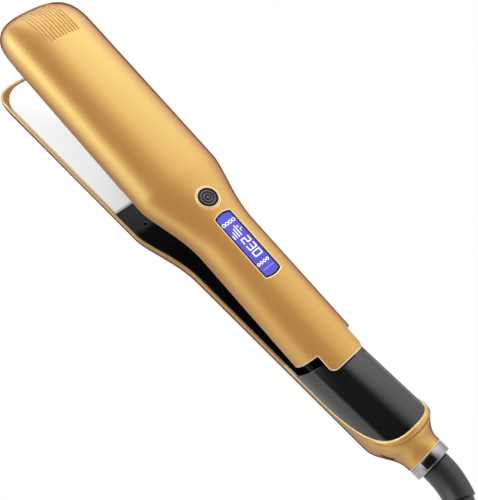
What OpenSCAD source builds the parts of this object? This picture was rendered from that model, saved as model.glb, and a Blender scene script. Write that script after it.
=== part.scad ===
// Hair straightener standing open, made as an assembly of separate pieces.
// Frame: +X runs to the cord, the tips point to -X, +Z is up.
// The origin lies on the flat underside, below the hinge pin.

/* [Overall] */
// Angle between the two arms as the iron stands open, degrees
open_angle = 10.2; // [8:0.1:11]
// Wall thickness of the two gold shells
wall = 1.4; // [1.3:0.05:1.5]

/* [Barrel] */
// Width of the barrel over both shells
barrel_w = 45.8; // [45.6:0.1:46.4]
// Distance from the hinge pin to the upper tip
upper_tip = 233.5; // [233:0.5:236]
// Distance from the hinge pin to the lower tip
lower_tip = 236.9; // [236.5:0.1:239]
// Height of the upper barrel above the parting plane
barrel_top = 18; // [17.6:0.1:18.6]
// Depth of the lower barrel below the parting plane
barrel_bottom = 13.5; // [13.4:0.1:13.8]
// Number of grip ridges on the upper tip
ridge_count = 11; // [9:1:12]
// Depth of the grip ridges
ridge_depth = 0.35; // [0.25:0.05:0.5]

/* [Handle] */
// Width of the handle over both shells
handle_w = 31.2; // [31:0.1:32]
// Height of the upper handle above the parting plane
handle_top = 16.8; // [16.7:0.1:17.4]
// Depth of the lower handle below the parting plane
handle_bottom = 13.5; // [13.4:0.1:13.8]

/* [Plates] */
// Width of a heating plate
plate_w = 42.4; // [42:0.1:42.4]
// Corner radius of a heating plate at the tip
plate_corner = 13.8; // [12:0.1:15]
// Gap between the two plates when the arms are closed
plate_gap = 0.3; // [0.2:0.05:0.4]

/* [Button] */
// Distance from the hinge pin to the power button
button_x = 100.8; // [100:0.1:101.5]
// Diameter of the power button cap
button_d = 9.44; // [9:0.02:9.6]

/* [Display] */
// Distance from the hinge pin to the middle of the display
display_x = 73.5; // [73:0.1:74]
// Length of the straight sides of the display window
display_l = 34; // [33:0.1:34.4]
// Width of the display window
display_w = 9.4; // [9:0.1:9.6]

/* [Hinge] */
// Diameter of the hinge pin
pin_d = 4; // [3.8:0.1:4.2]

/* [Tail] */
// Diameter of the silver tail ring
ring_d = 18.6; // [18.4:0.1:19]
// Length of the silver tail ring
ring_l = 4.6; // [4:0.1:5]
// Diameter of the power cord
cord_d = 6.6; // [6:0.1:6.6]
// Length of cord modelled beyond the boot
cord_l = 45; // [30:1:60]

/* [Hidden] */

// Each arm is drawn closed, with z measured from the parting plane.
axis_z = 13.2;        // parting plane above the flat underside
pivot_z = 0.95;       // hinge pin above the parting plane
upper_rim = 1.8;      // upper shell edge above the parting plane
lower_rim = 1.9;      // lower shell edge below the parting plane
barrel_half = barrel_w / 2;
handle_half = handle_w / 2;
roundness = 2.42;     // superellipse power of the sections
pin_r = pin_d / 2;
cord_r = cord_d / 2;
ring_r = ring_d / 2;
ring_x = 45.1;        // near face of the tail ring
ring_end = ring_x + ring_l;
housing_half = 15.35; // half width of the hinge housing
housing_top = 14.7;   // top of the hinge housing
across = [-20, 20];   // y span of cuts right across the hinge

gold = [0.86, 0.68, 0.34];
black = [0.06, 0.06, 0.07];
plate_silver = [0.82, 0.83, 0.85];
ceramic = [0.92, 0.9, 0.85];
clip_steel = [0.7, 0.7, 0.72];
screw_steel = [0.55, 0.55, 0.58];
cradle_grey = [0.14, 0.14, 0.15];
pad_red = [0.75, 0.32, 0.25];
bead_brown = [0.2, 0.12, 0.08];
contact_brass = [0.8, 0.62, 0.28];

// ---------- placing and basic bodies; a span is [from, to] ----------
function about(middle, half) = [middle - half, middle + half];
// a span given on the +Y side, or its mirror image on the -Y side
function on_side(s, span) = s > 0 ? span : [-span[1], -span[0]];

module in_lower() { translate([0, 0, axis_z]) children(); }
module in_upper() {
  translate([0, 0, axis_z + pivot_z]) rotate([0, open_angle, 0])
    translate([0, 0, -pivot_z]) children();
}
// a body drawn above the parting plane, turned below it for direction -1
module facing(direction) { mirror([0, 0, direction > 0 ? 0 : 1]) children(); }
module block(x, y, z) {
  translate([x[0], y[0], z[0]]) cube([x[1] - x[0], y[1] - y[0], z[1] - z[0]]);
}
module x_rod(r, x, y = 0, z = 0) {
  translate([x[0], y, z]) rotate([0, 90, 0]) cylinder(r = r, h = x[1] - x[0], $fn = 64);
}
module z_rod(r, z, x = 0, y = 0, sides = 48) {
  translate([x, y, z[0]]) cylinder(r = r, h = z[1] - z[0], $fn = sides);
}
// rod on the hinge axis
module pivot_rod(r, y) {
  translate([0, y[1], pivot_z]) rotate([90, 0, 0]) cylinder(r = r, h = y[1] - y[0], $fn = 64);
}
// an XZ profile made into a slab centred on y = 0
module y_slab(width) {
  translate([0, width / 2, 0]) rotate([90, 0, 0]) linear_extrude(height = width) children();
}
// a YZ profile drawn out along x
module x_prism(x) {
  translate([x[0], 0, 0]) rotate([90, 0, 90]) linear_extrude(height = x[1] - x[0]) children();
}

// ---------- shared curves ----------
function clamped(u) = min(max(u, 0), 1);
function eased(u) = let (c = clamped(u)) c * c * (3 - 2 * c);
function mix(a, b, share) = a + (b - a) * share;
// eased change from a to b, over a length that begins at start
function blend(a, b, x, start, length) = mix(a, b, eased((x - start) / length));

neck_x = -118;        // the barrel begins to narrow
neck_l = 36;
neck_margin = 3;      // closely spaced sections begin this far before the neck
function neck(x) = eased(pow(clamped((x - neck_x) / neck_l), 0.8));
function half_width(x) = mix(barrel_half, handle_half, neck(x));
function top_height(x) = mix(barrel_top, handle_top, neck(x));
function bottom_depth(x) = mix(barrel_bottom, handle_bottom, neck(x));

// share of full size left at x on a rounded nose
function nose_share(x, tip, nose, power) =
  pow(max(1 - pow(clamped((nose - tip - x) / nose), power), 0.0001), 1 / power);
function nose_stations(tip, nose, angles) = [for (a = angles) -tip + nose * (1 - cos(a))];
function body_stations(nose_end) = let (start = neck_x - neck_margin) concat(
  [for (i = [0 : 3]) mix(nose_end, start, i / 3)],
  [for (i = [1 : 9]) start + (neck_l + neck_margin) * i / 9],
  [-62, -40, -20]);

function bulge(c, power) = sign(c) * pow(abs(c), 2 / power);
// one rounded half section, from +Y round to -Y
function half_section(x, half, z, height, direction, steps) = [for (j = [0 : steps])
  let (a = 180 * j / steps)
  [x, half * bulge(cos(a), roundness), z + direction * height * bulge(max(sin(a), 0), roundness)]];

// ---------- faces over rows of point numbers ----------
function id_rows(start, count, size, closed = 0) =
  [for (i = [0 : count - 1]) [for (j = [0 : size - 1 + closed]) start + i * size + j % size]];
function joined(rows) = [for (row = rows) each row];
function column(rows, j) = [for (row = rows) row[j]];
function flipped(faces) = [for (face = faces) [face[2], face[1], face[0]]];
function quad(a, b, c, d) = [[a, b, c], [a, c, d]];
function fan(row) = [for (j = [1 : len(row) - 2]) [row[0], row[j], row[j + 1]]];
function skin(rows) = [for (i = [0 : len(rows) - 2], j = [0 : len(rows[0]) - 2])
  each quad(rows[i][j], rows[i + 1][j], rows[i + 1][j + 1], rows[i][j + 1])];
function band(outer, inner, start = 0) = [for (j = [start : len(outer) - 2])
  each quad(outer[j], inner[j], inner[j + 1], outer[j + 1])];
// trough closed at its first section and left open at its last, wound for a cover
function trough_faces(outer, inner) = let (last = len(outer[0]) - 1) concat(
  skin(outer),
  flipped(skin(inner)),
  band(column(outer, 0), column(inner, 0)),
  flipped(band(column(outer, last), column(inner, last))),
  fan(outer[0]),
  flipped(fan(inner[0])),
  quad(outer[0][0], outer[0][last], inner[0][last], inner[0][0]));

// cover between an outer and an inner set of half sections
module cover(outer, inner) {
  count = len(outer);
  size = len(outer[0]);
  outer_ids = id_rows(0, count, size);
  inner_ids = id_rows(count * size, count, size);
  polyhedron(points = joined(concat(outer, inner)), convexity = 6, faces = concat(
    trough_faces(outer_ids, inner_ids),
    band(outer_ids[count - 1], inner_ids[count - 1])));
}
// trough of half sections that runs into a tube of full rings;
// the lower half of the first ring serves as the last half section
module scoop(half_outer, half_inner, ring_outer, ring_inner) {
  count = len(half_outer);
  size = len(half_outer[0]);
  rings = len(ring_outer);
  ring_size = len(ring_outer[0]);
  ring_start = 2 * count * size;
  tube_out = id_rows(ring_start, rings, ring_size, 1);
  tube_in = id_rows(ring_start + rings * ring_size, rings, ring_size, 1);
  trough_out = concat(id_rows(0, count, size), [[for (j = [0 : size - 1]) tube_out[0][j]]]);
  trough_in = concat(id_rows(count * size, count, size),
    [[for (j = [0 : size - 1]) tube_in[0][j]]]);
  polyhedron(points = joined(concat(half_outer, half_inner, ring_outer, ring_inner)),
    convexity = 8, faces = flipped(concat(
      trough_faces(trough_out, trough_in),
      skin(tube_out),
      flipped(skin(tube_in)),
      flipped(band(tube_out[0], tube_in[0], size - 1)),
      band(tube_out[rings - 1], tube_in[rings - 1]))));
}
// round wire swept along a path
module wire(path, r) {
  sides = 8;
  last = len(path) - 1;
  points = [for (i = [0 : last]) let (
      along = path[min(i + 1, last)] - path[max(i - 1, 0)],
      tangent = along / norm(along),
      y_axis = [0, 1, 0],
      square_off = y_axis - tangent * (y_axis * tangent),
      normal = square_off / norm(square_off),
      binormal = cross(tangent, normal))
    each [for (j = [0 : sides - 1])
      path[i] + r * (cos(360 * j / sides) * normal + sin(360 * j / sides) * binormal)]];
  polyhedron(points = points, convexity = 10, faces = concat(
    flipped(skin(id_rows(0, last + 1, sides, 1))),
    [[for (j = [sides - 1 : -1 : 0]) j]],
    [[for (j = [0 : sides - 1]) last * sides + j]]));
}
// extra points near each bend, so that it turns within a short length
function softened(path) = let (last = len(path) - 1) [for (i = [0 : last])
  each (i == 0 || i == last) ? [path[i]] : [
    mix(path[i], path[i - 1], 0.25), mix(path[i], path[i - 1], 0.06),
    mix(path[i], path[i + 1], 0.06), mix(path[i], path[i + 1], 0.25)]];
module lead(path, r) { wire(softened(path), r); }

// ---------- screws and inner frames ----------
lower_screws_x = [-116, -40];
upper_screws_x = [-122, -33];
screw_r = 1.1;
pilot_r = 1.14;
boss_r = 3;
head_r = 1.95;
module screw(length) {
  slot = [2.6, 0.44, 1];
  z_rod(screw_r, [0, length]);
  difference() {
    z_rod(head_r, [length - 0.01, length + 0.99]);
    for (a = [0, 90]) rotate([0, 0, a])
      translate([-slot.x / 2, -slot.y / 2, length + 0.5]) cube(slot);
  }
}
// shank, head and boss clearances in an inner frame, each with its z span
module screw_cuts(places, shank_z, head_z, boss_z) {
  for (x = places) {
    z_rod(1.3, shank_z, x);
    z_rod(head_r + 0.15, head_z, x);
    z_rod(boss_r + 0.1, boss_z, x);
  }
}
// outline that follows the shells, drawn in by inset
module arm_plan(x, inset, step = 3) {
  count = max(1, round((x[1] - x[0]) / step));
  stations = [for (i = [0 : count]) x[0] + (x[1] - x[0]) * i / count];
  polygon(concat([for (p = stations) [p, -(half_width(p) - inset)]],
    [for (i = [count : -1 : 0]) [stations[i], half_width(stations[i]) - inset]]));
}
// flat deck and the upright wall along its edge
module frame_deck(deck_z, deck_end, wall_z, wall_end) {
  translate([0, 0, deck_z]) linear_extrude(height = 1.5)
    arm_plan([-134.9, deck_end], wall + 0.4);
  translate([0, 0, wall_z]) linear_extrude(height = 1.8) difference() {
    arm_plan([-132, wall_end], wall + 1.4, 6);
    arm_plan([-130, wall_end - 2], wall + 2.8, 6);
  }
}

// ---------- lower shell ----------
lower_nose = 19;      // length of the rounded tip
lower_steps = 20;     // facets round half a section
lower_deck_z = -3.7;
tail_start = 25;      // the sections close up to the ring from here
tail_top_z = housing_top + 0.5;
lip_x = -2;           // the shell edge rises from here
lip_l = 35.3;
lip_end = lip_x + lip_l;
tail_stations = concat([0, 8, 16, 21], [for (i = [0 : 11]) mix(tail_start, ring_x, i / 11)]);
function tail_bottom(x) = blend(bottom_depth(x), ring_r, x, tail_start, 17);
function lower_stations(inset) = concat(
  nose_stations(lower_tip - inset, lower_nose - inset, [5, 12, 21, 31, 43, 56, 70, 84]),
  body_stations(-lower_tip + lower_nose));
function lower_section(x, inset) = let (tip = lower_tip - inset, nose = lower_nose - inset)
  half_section(x, (half_width(x) - inset) * nose_share(x, tip, nose, 4), -lower_rim,
    (tail_bottom(x) - inset - lower_rim) * nose_share(x, tip, nose, 2.3), -1, lower_steps);
// full ring from +Y round the bottom to -Y and back over the top
function tail_section(x, inset) = let (
    power = blend(roundness, 2, x, 30, 13),
    half = handle_half * blend(1, ring_r / handle_half, x, 26, 17) - inset,
    top = blend(tail_top_z, ring_r, x, 33.5, 9.3) - inset,
    bottom = tail_bottom(x) - inset,
    middle = blend(-lower_rim, 0, x, 24, 21))
  [for (j = [0 : 2 * lower_steps - 1]) let (a = 180 * j / lower_steps, s = sin(a))
    [x, half * bulge(cos(a), power),
      middle - (s >= 0 ? bottom + middle : top - middle) * bulge(s, power)]];
function lip_z(x) = let (u = clamped((x - lip_x) / lip_l))
  -lower_rim + (tail_top_z + lower_rim) * (1 - pow(1 - pow(u, 2.2), 0.75));
// the rising edge, moved by shift towards -X and +Z
function lip_curve(shift = 0) = [for (i = [1 : 20])
  let (x = lip_x + lip_l * i / 20) [x - shift, lip_z(x) + shift]];

module lower_shell() color(gold) in_lower() difference() {
  union() {
    scoop([for (x = lower_stations(0)) lower_section(x, 0)],
      [for (x = lower_stations(wall)) lower_section(x, wall)],
      [for (x = tail_stations) tail_section(x, 0)],
      [for (x = tail_stations) tail_section(x, wall)]);
    for (x = lower_screws_x)
      z_rod(boss_r, [-barrel_bottom + 0.7, lower_deck_z], x, sides = 64);
  }
  // the edge that rises towards the cord
  y_slab(60) polygon(concat(
    [[-9, 40], [-9, -lower_rim + 0.25], [-2.6, -lower_rim + 0.02]],
    lip_curve(), [[lip_end, 40]]));
  // flat underside
  block([-300, 300], [-50, 50], [-axis_z - 10, -axis_z]);
  for (x = lower_screws_x) z_rod(pilot_r, [-11, 1], x);
}

// ---------- lower frame and hinge housing ----------
cheek_y = [8.8, 11.8];
ion_place = [-121.5, -14];
module lower_inner_frame() color(black) in_lower() difference() {
  union() {
    frame_deck(lower_deck_z, -14, -5.4, -16);
    // cheeks that hold the hinge pin
    for (s = [-1, 1]) {
      block([-16, 14], on_side(s, cheek_y), [lower_deck_z, -2.2]);
      translate([0, s * (cheek_y[0] + cheek_y[1]) / 2, 0]) y_slab(cheek_y[1] - cheek_y[0])
        polygon([[-9, -2.4], [9, -2.4], [5, 3.2], [-5, 3.2]]);
      pivot_rod(5.2, on_side(s, cheek_y));
    }
  }
  block([-30, 30], about(0, cheek_y[0]), [-20, 20]);
  pivot_rod(pin_r + 0.03, across);
  screw_cuts(lower_screws_x, [-20, 10], [-3.14, -0.14], [-6, lower_deck_z]);
  z_rod(1.66, [-20, 10], ion_place.x, ion_place.y);
}

module arch_plan(half, bottom, top, steps) {
  polygon([for (p = half_section(0, half, bottom, top - bottom, 1, steps)) [p.y, p.z]]);
}
housing_wall = 1.7;
housing_inner = housing_half - housing_wall;
housing_step = 0.45;
module hinge_housing() color(black) in_lower() difference() {
  intersection() {
    difference() {
      x_prism([-19, 35.5]) arch_plan(housing_half, -lower_rim + 0.1, housing_top, 40);
      x_prism([-20, 36]) union() {
        arch_plan(housing_inner, -lower_rim + 0.05, housing_top - housing_wall, 40);
        translate([-housing_inner, -6]) square([2 * housing_inner, 4.2]);
      }
    }
    y_slab(60) polygon(concat([[-16.8, -lower_rim + 0.05], [-3, -lower_rim + 0.15]],
      lip_curve(0.12), [[lip_end - 0.2, 40], [1, 40]]));
  }
  // shallow step under the tongue of the upper shell
  difference() {
    block([-30, -2.8], about(0, 10.83), [6.03, 30]);
    x_prism([-41, 1]) arch_plan(housing_half - housing_step, -lower_rim,
      housing_top - housing_step, 28);
  }
  block([-40, -1], about(0, 9.43), [-12, 9.52]);
}

// ---------- tail ring, socket and contacts ----------
ring_bore_r = 6.2;
module window_block(grow = 0) {
  rotate([30.5, 0, 0])
    block([ring_x + 0.45 - grow, ring_end - 0.65 + grow], about(0, 3 + grow), [4, 12]);
}
module swivel_ring() color([0.75, 0.75, 0.77]) in_lower() difference() {
  x_rod(ring_r, [ring_x + 0.05, ring_end]);
  x_rod(ring_bore_r, [ring_x - 1, ring_end + 1]);
  window_block(0.05);
}
module ring_window() color(black) in_lower() intersection() {
  difference() {
    x_rod(ring_r - 0.15, [ring_x, ring_end]);
    x_rod(ring_bore_r + 0.05, [ring_x - 1, ring_end + 1]);
  }
  window_block();
}
module swivel_socket() color([0.12, 0.12, 0.13]) in_lower() difference() {
  union() {
    x_rod(7.2, [36.5, ring_x]);
    x_rod(7.75, [43.4, ring_x]);
  }
  x_rod(5.58, [30, 60]);
}
contact_x = 22.2;
contact_w = 2.2;
contact_pitch = 4;
function contact_span(i, grow = 0) = let (start = contact_x + contact_pitch * i)
  [start - grow, start + contact_w + grow];
module slip_contacts() color(contact_brass) in_lower() for (i = [0, 1]) {
  contact = contact_span(i);
  block(contact, [-4, 4], [-6.2, -5.7]);
  block(contact, [-4, -3.4], [-6.2, -3.6]);
  block([18, contact[1]], [3.4 + 0.8 * i, 4 + 0.8 * i], [-7.4, -6.2]);
  // bridge to the outer strip
  if (i == 1) block(contact, [3.4, 4.8], [-6.3, -5.7]);
}

// ---------- heating plates and what lies behind them ----------
plate_rear = 135.3;   // hinge end of the plates, from the pin
plate_front_gap = 4.1; // plate end to shell tip
face_z = plate_gap / 2;
cradle_x = [-214, -150];
pads_x = [-197, -167];
pad_r = 3;
module plate_plan(front) {
  rear_l = 60;
  overlap = 1;
  half = plate_w / 2;
  translate([-plate_rear - rear_l, -half]) square([rear_l, plate_w]);
  translate([-front + plate_corner, -half])
    square([front - plate_rear - rear_l - plate_corner + overlap, plate_w]);
  translate([-front, -half + plate_corner])
    square([plate_corner + overlap, plate_w - 2 * plate_corner]);
  for (s = [-1, 1])
    translate([-front + plate_corner, s * (half - plate_corner)])
      circle(r = plate_corner, $fn = 96);
}
module plate(tip, direction) {
  front = tip - plate_front_gap;
  back_w = 36;
  facing(direction) {
    translate([0, 0, face_z]) linear_extrude(height = 2.6) plate_plan(front);
    translate([0, 0, face_z + 2.5]) linear_extrude(height = 1)
      translate([-front + 8, -back_w / 2]) square([front - plate_rear - 10, back_w]);
    // long ribs on the back
    for (s = [-1, 1])
      block([-front + 14, -plate_rear - 6], about(s * 11, 1), [face_z + 3.4, face_z + 6.2]);
  }
}
module heater(direction) facing(direction) {
  difference() {
    block([-216, -150], about(0, 8.5), [face_z + 3.5, face_z + 5.1]);
    block([-214, -152], about(0, 0.4), [face_z + 4.8, face_z + 5.2]);
  }
  for (s = [-1, 1]) x_rod(0.5, [-150.5, -146], s * 4, face_z + 4.3);
}
module heater_clip(direction) facing(direction) difference() {
  clip_x = [-212, -154];
  union() {
    block(clip_x, about(0, 9.9), [face_z + 5.1, face_z + 5.7]);
    for (s = [-1, 1]) block(clip_x, on_side(s, [9.2, 9.8]), [face_z + 3.6, face_z + 5.5]);
  }
  for (x = [-203 : 12 : -167]) z_rod(2.5, [0, 20], x);
}
module cradle_bar(z) { block(cradle_x, [-9, 9], z); }
module pad_pockets(z) { for (x = pads_x) z_rod(pad_r + 0.05, z, x); }
module pads(bottom, height) {
  for (x = pads_x) difference() {
    z_rod(pad_r, [bottom, bottom + height], x);
    z_rod(1.2, [bottom - 0.1, bottom + height + 0.2], x);
  }
}
// bead with a rounded nose and two wires towards the hinge
module thermistor(z) {
  bead_x = -146;
  bead_y = 13.6;
  bead_r = 0.9;
  x_rod(bead_r, [bead_x, bead_x + 5], bead_y, z);
  translate([bead_x, bead_y, z]) sphere(r = bead_r, $fn = 32);
  for (s = [-1, 1]) x_rod(0.3, [bead_x + 4.8, bead_x + 12], bead_y + s * bead_r / 2, z);
}

module lower_plate() color(plate_silver) in_lower() plate(lower_tip, -1);
module lower_heater() color(ceramic) in_lower() heater(-1);
module lower_heater_clip() color(clip_steel) in_lower() heater_clip(-1);
module lower_plate_cradle() color(cradle_grey) in_lower() difference() {
  union() {
    cradle_bar([-11.3, -9.6]);
    for (x = [-212, -182, -152]) block(about(x, 1.5), [-15, 15], [-9.6, -8.2]);
  }
  pad_pockets([-12, -9]);
}
module lower_plate_pads() color(pad_red) in_lower() pads(-11.2, 3.7);
module lower_thermistor() color(bead_brown) in_lower() thermistor(-5.2);

module upper_plate() color(plate_silver) in_upper() plate(upper_tip, 1);
module upper_heater() color(ceramic) in_upper() heater(1);
module upper_heater_clip() color(clip_steel) in_upper() heater_clip(1);
module upper_plate_cradle() color(cradle_grey) in_upper() difference() {
  union() {
    cradle_bar([10.2, 12]);
    for (x = [-206, -152], s = [-1, 1]) z_rod(1.8, [11.9, 15.9], x, s * 6);
  }
  pad_pockets([9, 11.4]);
}
module upper_plate_pads() color(pad_red) in_upper() pads(7.4, 3.9);
module upper_thermistor() color(bead_brown) in_upper() thermistor(5.2);

// ---------- small parts in the lower arm ----------
module thermal_fuse() color([0.72, 0.7, 0.66]) in_lower() {
  fuse_y = -14.2;
  fuse_z = -6.5;
  x_rod(1.8, [-149, -139], fuse_y, fuse_z);
  x_rod(0.45, [-154, -135], fuse_y, fuse_z);
}
// cup with a needle standing in it
module ion_emitter() color([0.5, 0.52, 0.55]) in_lower()
  translate([ion_place.x, ion_place.y, 0]) {
    difference() {
      z_rod(1.6, [-6, -2.05]);
      z_rod(1.1, [-5, -1]);
    }
    translate([0, 0, -5.1]) cylinder(r1 = 0.35, r2 = 0.08, h = 2.9, $fn = 32);
  }
module ion_module() color([0.08, 0.1, 0.22]) in_lower() {
  block([-84, -58], [-6.5, 6.5], [-11.2, -5.8]);
  x_rod(1, [-90, -84], 0, -8.5);
}
module lower_screws() color(screw_steel) in_lower()
  for (x = lower_screws_x) translate([x, 0, -10.1]) screw(7);
// x, y, z along each lead, from the slip contacts to the heater and the fuse
lower_lead_paths = [
  [[17.7, 3.7, -8.3], [4, 4, -9.6], [-40, 6.4, -9.3], [-56, 8.6, -8.2], [-92, 8.8, -8.2],
    [-126, 9, -9], [-142, 5, -7.2]],
  [[17.7, -3.7, -8.3], [4, -4, -9.6], [-40, -6.4, -9.3], [-56, -8.6, -8.2], [-92, -8.8, -8.2],
    [-126, -11, -9], [-133, -14.2, -6.6]]];
module lower_leads() color([0.75, 0.75, 0.78]) in_lower()
  for (path = lower_lead_paths) lead(path, 0.9);

// ---------- hinge ----------
clip_y = 12.3;        // clip groove from the middle of the pin
bush_bore_r = pin_r + 0.05;
module hinge_pin() color([0.72, 0.72, 0.74]) in_lower() difference() {
  pivot_rod(pin_r, about(0, 12.7));
  for (s = [-1, 1]) difference() {
    pivot_rod(5, about(s * clip_y, 0.2));
    pivot_rod(pin_r - 0.35, across);
  }
}
module hinge_pin_clips() color([0.4, 0.4, 0.42]) in_lower() for (s = [-1, 1]) difference() {
  pivot_rod(pin_r + 1.1, about(s * clip_y, 0.17));
  pivot_rod(pin_r - 0.33, across);
  block([-6, 0], across, about(pivot_z, 1.1));
}
module hinge_bushes() color([0.85, 0.83, 0.76]) in_upper() for (s = [-1, 1]) difference() {
  union() {
    pivot_rod(3, on_side(s, [4.6, 8.35]));
    pivot_rod(4, on_side(s, [8.32, 8.7]));
  }
  pivot_rod(bush_bore_r, across);
}
module hinge_spring() color([0.62, 0.63, 0.66]) in_lower() translate([0, 0, pivot_z]) {
  turns = 5;
  turn_steps = 20;
  coil_r = 2.95;
  pitch = 1.05;
  end_y = turns * pitch / 2;
  coil = [for (i = [0 : turns * turn_steps]) let (a = 360 * i / turn_steps)
    [coil_r * cos(a), pitch * i / turn_steps - end_y, coil_r * sin(a)]];
  // legs in x, y, z: the upper one first, the lower one last
  wire(concat(
    [[-12.1, -end_y - 0.05, 2.3], [-2, -end_y - 0.02, 3.35], [0.9, -end_y, 3.1],
      [2.2, -end_y, 2.2]],
    coil,
    [[2.2, end_y, -2.2], [-12, end_y + 0.1, -3.7], [-29.4, end_y + 0.1, -3.9]]), 0.4);
}

// ---------- upper shell ----------
upper_nose = 24;      // length of the rounded tip
upper_nose_end = -upper_tip + upper_nose;
tongue_x = 6.9;       // end of the tongue, short of the hinge pin
upper_stations = concat(
  nose_stations(upper_tip, upper_nose, [5, 12, 20, 29, 39, 50, 62, 74, 85]),
  body_stations(upper_nose_end), [-tongue_x]);
function tip_width(x) = nose_share(x, upper_tip, upper_nose, 3.2);
function tip_height(x) = nose_share(x, upper_tip, upper_nose, 2);
// height of the outer surface over the barrel
function surface_z(x, y) = upper_rim + (barrel_top - upper_rim) * tip_height(x)
  * pow(max(1 - pow(min(abs(y) / (barrel_half * tip_width(x)), 1), roundness), 0), 1 / roundness);
function upper_section(x, inset) = let (
    nose_x = -upper_tip + inset + (x + upper_tip) * (upper_nose - inset) / upper_nose)
  half_section(x < upper_nose_end ? nose_x : x, (half_width(x) - inset) * tip_width(x),
    upper_rim, (top_height(x) - inset - upper_rim) * tip_height(x), 1, 22);

// outline x, z of the cut that ends the skirts at the hinge
skirt_cut = [[-15.6, 24], [-17.4, 8], [-18.3, 3.4], [-18.8, 2.3], [-19.8, 1.4],
  [10, -4], [10, 24]];
tongue_half = 7.2;    // half width of the tongue at its end
tongue_corner = [-9.9, 3]; // x where its corners begin, and their radius
ridge_pitch = 1.7;
ridge_slot_w = 0.75;
bezel_r = 5.38;

module display_plan(inset) {
  end_rise = 1.1;     // how far the curved ends stand out
  length_half = display_l / 2 + end_rise - inset;
  width_half = display_w / 2 - inset;
  end_r = (width_half * width_half + end_rise * end_rise) / (2 * end_rise);
  for (s = [-1, 1]) intersection() {
    square([2 * length_half, 2 * width_half], center = true);
    translate([s * (length_half - end_r), 0]) circle(r = end_r, $fn = 128);
  }
  square([2 * (length_half - end_rise), 2 * width_half], center = true);
}
module at_display() { translate([-display_x, 0, 0]) children(); }
module at_button() { translate([-button_x, 0, 0]) children(); }

// slots between the grip ridges, following the rounded tip
module ridge_slots() {
  slot_end = -205;
  nose_depth = 0.8 * ridge_depth;
  nose_xs = nose_stations(upper_tip, upper_nose, [14 : 15 : 89]);
  for (i = [0 : ridge_count - 1]) {
    y = (i - (ridge_count - 1) / 2) * ridge_pitch;
    end_z = surface_z(slot_end, y);
    translate([0, y, 0]) y_slab(ridge_slot_w) polygon(concat(
      [[-upper_tip - 2, upper_rim + 2.2]],
      [for (x = nose_xs) [x, surface_z(x - nose_depth, y) - nose_depth]],
      [[slot_end - 0.3, end_z - ridge_depth], [slot_end + 0.7, end_z + 0.3],
        [slot_end + 0.7, 24], [-upper_tip - 2, 24]]));
  }
}
module upper_shell() color(gold) in_upper() difference() {
  union() {
    cover([for (x = upper_stations) upper_section(x, 0)],
      [for (x = upper_stations) upper_section(x, wall)]);
    for (x = upper_screws_x) z_rod(boss_r, [3.4, top_height(x) - 0.8], x, sides = 64);
  }
  // skirts stop short of the tongue at the hinge
  for (s = [-1, 1]) translate([0, s * 20.2, 0]) y_slab(20) polygon(skirt_cut);
  // rounded corners of the tongue
  for (s = [-1, 1]) difference() {
    block([tongue_corner[0], 0], on_side(s, [tongue_half, 12]), [5, 25]);
    z_rod(tongue_corner[1], [0, 40], tongue_corner[0], s * tongue_half, 64);
  }
  ridge_slots();
  at_button() z_rod(bezel_r + 0.04, [10, 22], sides = 96);
  at_display() translate([0, 0, 10]) linear_extrude(height = 12) display_plan(0);
  for (x = upper_screws_x) z_rod(pilot_r, [0, 11.4], x);
}

// ---------- upper frame ----------
rail_z = [0.95, 1.75];
rail_outer = barrel_half - 0.35;
rail_foot_x = [-134.8, -131];
knuckle_w = 16.6;
module upper_inner_frame() color(black) in_upper() difference() {
  union() {
    frame_deck(1.85, -19.8, 3.2, -22);
    // slim side rails under the edge of the gold shell, beside the plate
    for (s = [-1, 1]) {
      block([-211, -134.5], on_side(s, [plate_w / 2 + 0.2, rail_outer]), rail_z);
      block(rail_foot_x, on_side(s, [plate_w / 2 - 3, rail_outer]), rail_z);
      block(rail_foot_x, on_side(s, [plate_w / 2 - 3, plate_w / 2 - 0.2]), [1.7, 2.2]);
    }
    // knuckle round the hinge pin
    y_slab(knuckle_w) polygon([[-34, 1.85], [-18, 1.2], [-5, -3.9], [0, -5],
      [5, 4.5], [-2, 6.7], [-14, 9], [-34, 8]]);
    pivot_rod(6, about(0, knuckle_w / 2));
  }
  // gap in the knuckle for the spring, and a channel behind it
  block([-13.2, 20], [-4.5, 4.5], [-20, 30]);
  block([-33, -16], [-4.5, 4.5], [3.2, 30]);
  pivot_rod(3.03, across);
  screw_cuts(upper_screws_x, [-20, 20], [-20, 2.74], [3.35, 13.35]);
}

// ---------- button ----------
board_z = [9, 10.6];
bezel_top = 17.35;
button_r = button_d / 2;
stem_r = 1.6;
module button_bezel() color([0.93, 0.86, 0.66]) in_upper() at_button() difference() {
  z_rod(bezel_r, [14.2, bezel_top], sides = 96);
  z_rod(button_r + 0.06, [10, 20], sides = 96);
}
module power_button() color([0.05, 0.05, 0.06]) in_upper() at_button() difference() {
  union() {
    z_rod(button_r, [15.2, bezel_top - 0.15], sides = 96);
    z_rod(stem_r, [14.72, 15.32]);
  }
  // ring grooves in the cap
  for (r = [1.5, 2.7, 3.8]) difference() {
    z_rod(r + 0.2, [bezel_top - 0.4, bezel_top + 0.6], sides = 96);
    z_rod(r - 0.2, [bezel_top - 1.4, bezel_top + 1.6], sides = 96);
  }
}
module button_return_ring() color([0.8, 0.8, 0.78]) in_upper() at_button() difference() {
  z_rod(4.6, [13.2, 14.65], sides = 64);
  z_rod(2.3, [9, 19], sides = 64);
}
module tact_switch() color([0.15, 0.15, 0.17]) in_upper() at_button() {
  block([-3, 3], [-3, 3], [board_z[1], 13.1]);
  z_rod(stem_r, [13.05, 14.2]);
  for (x = [-3.6, 3.6], y = [-2.2, 2.2])
    block(about(x, 0.6), about(y, 0.35), [board_z[1], 10.85]);
}

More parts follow.
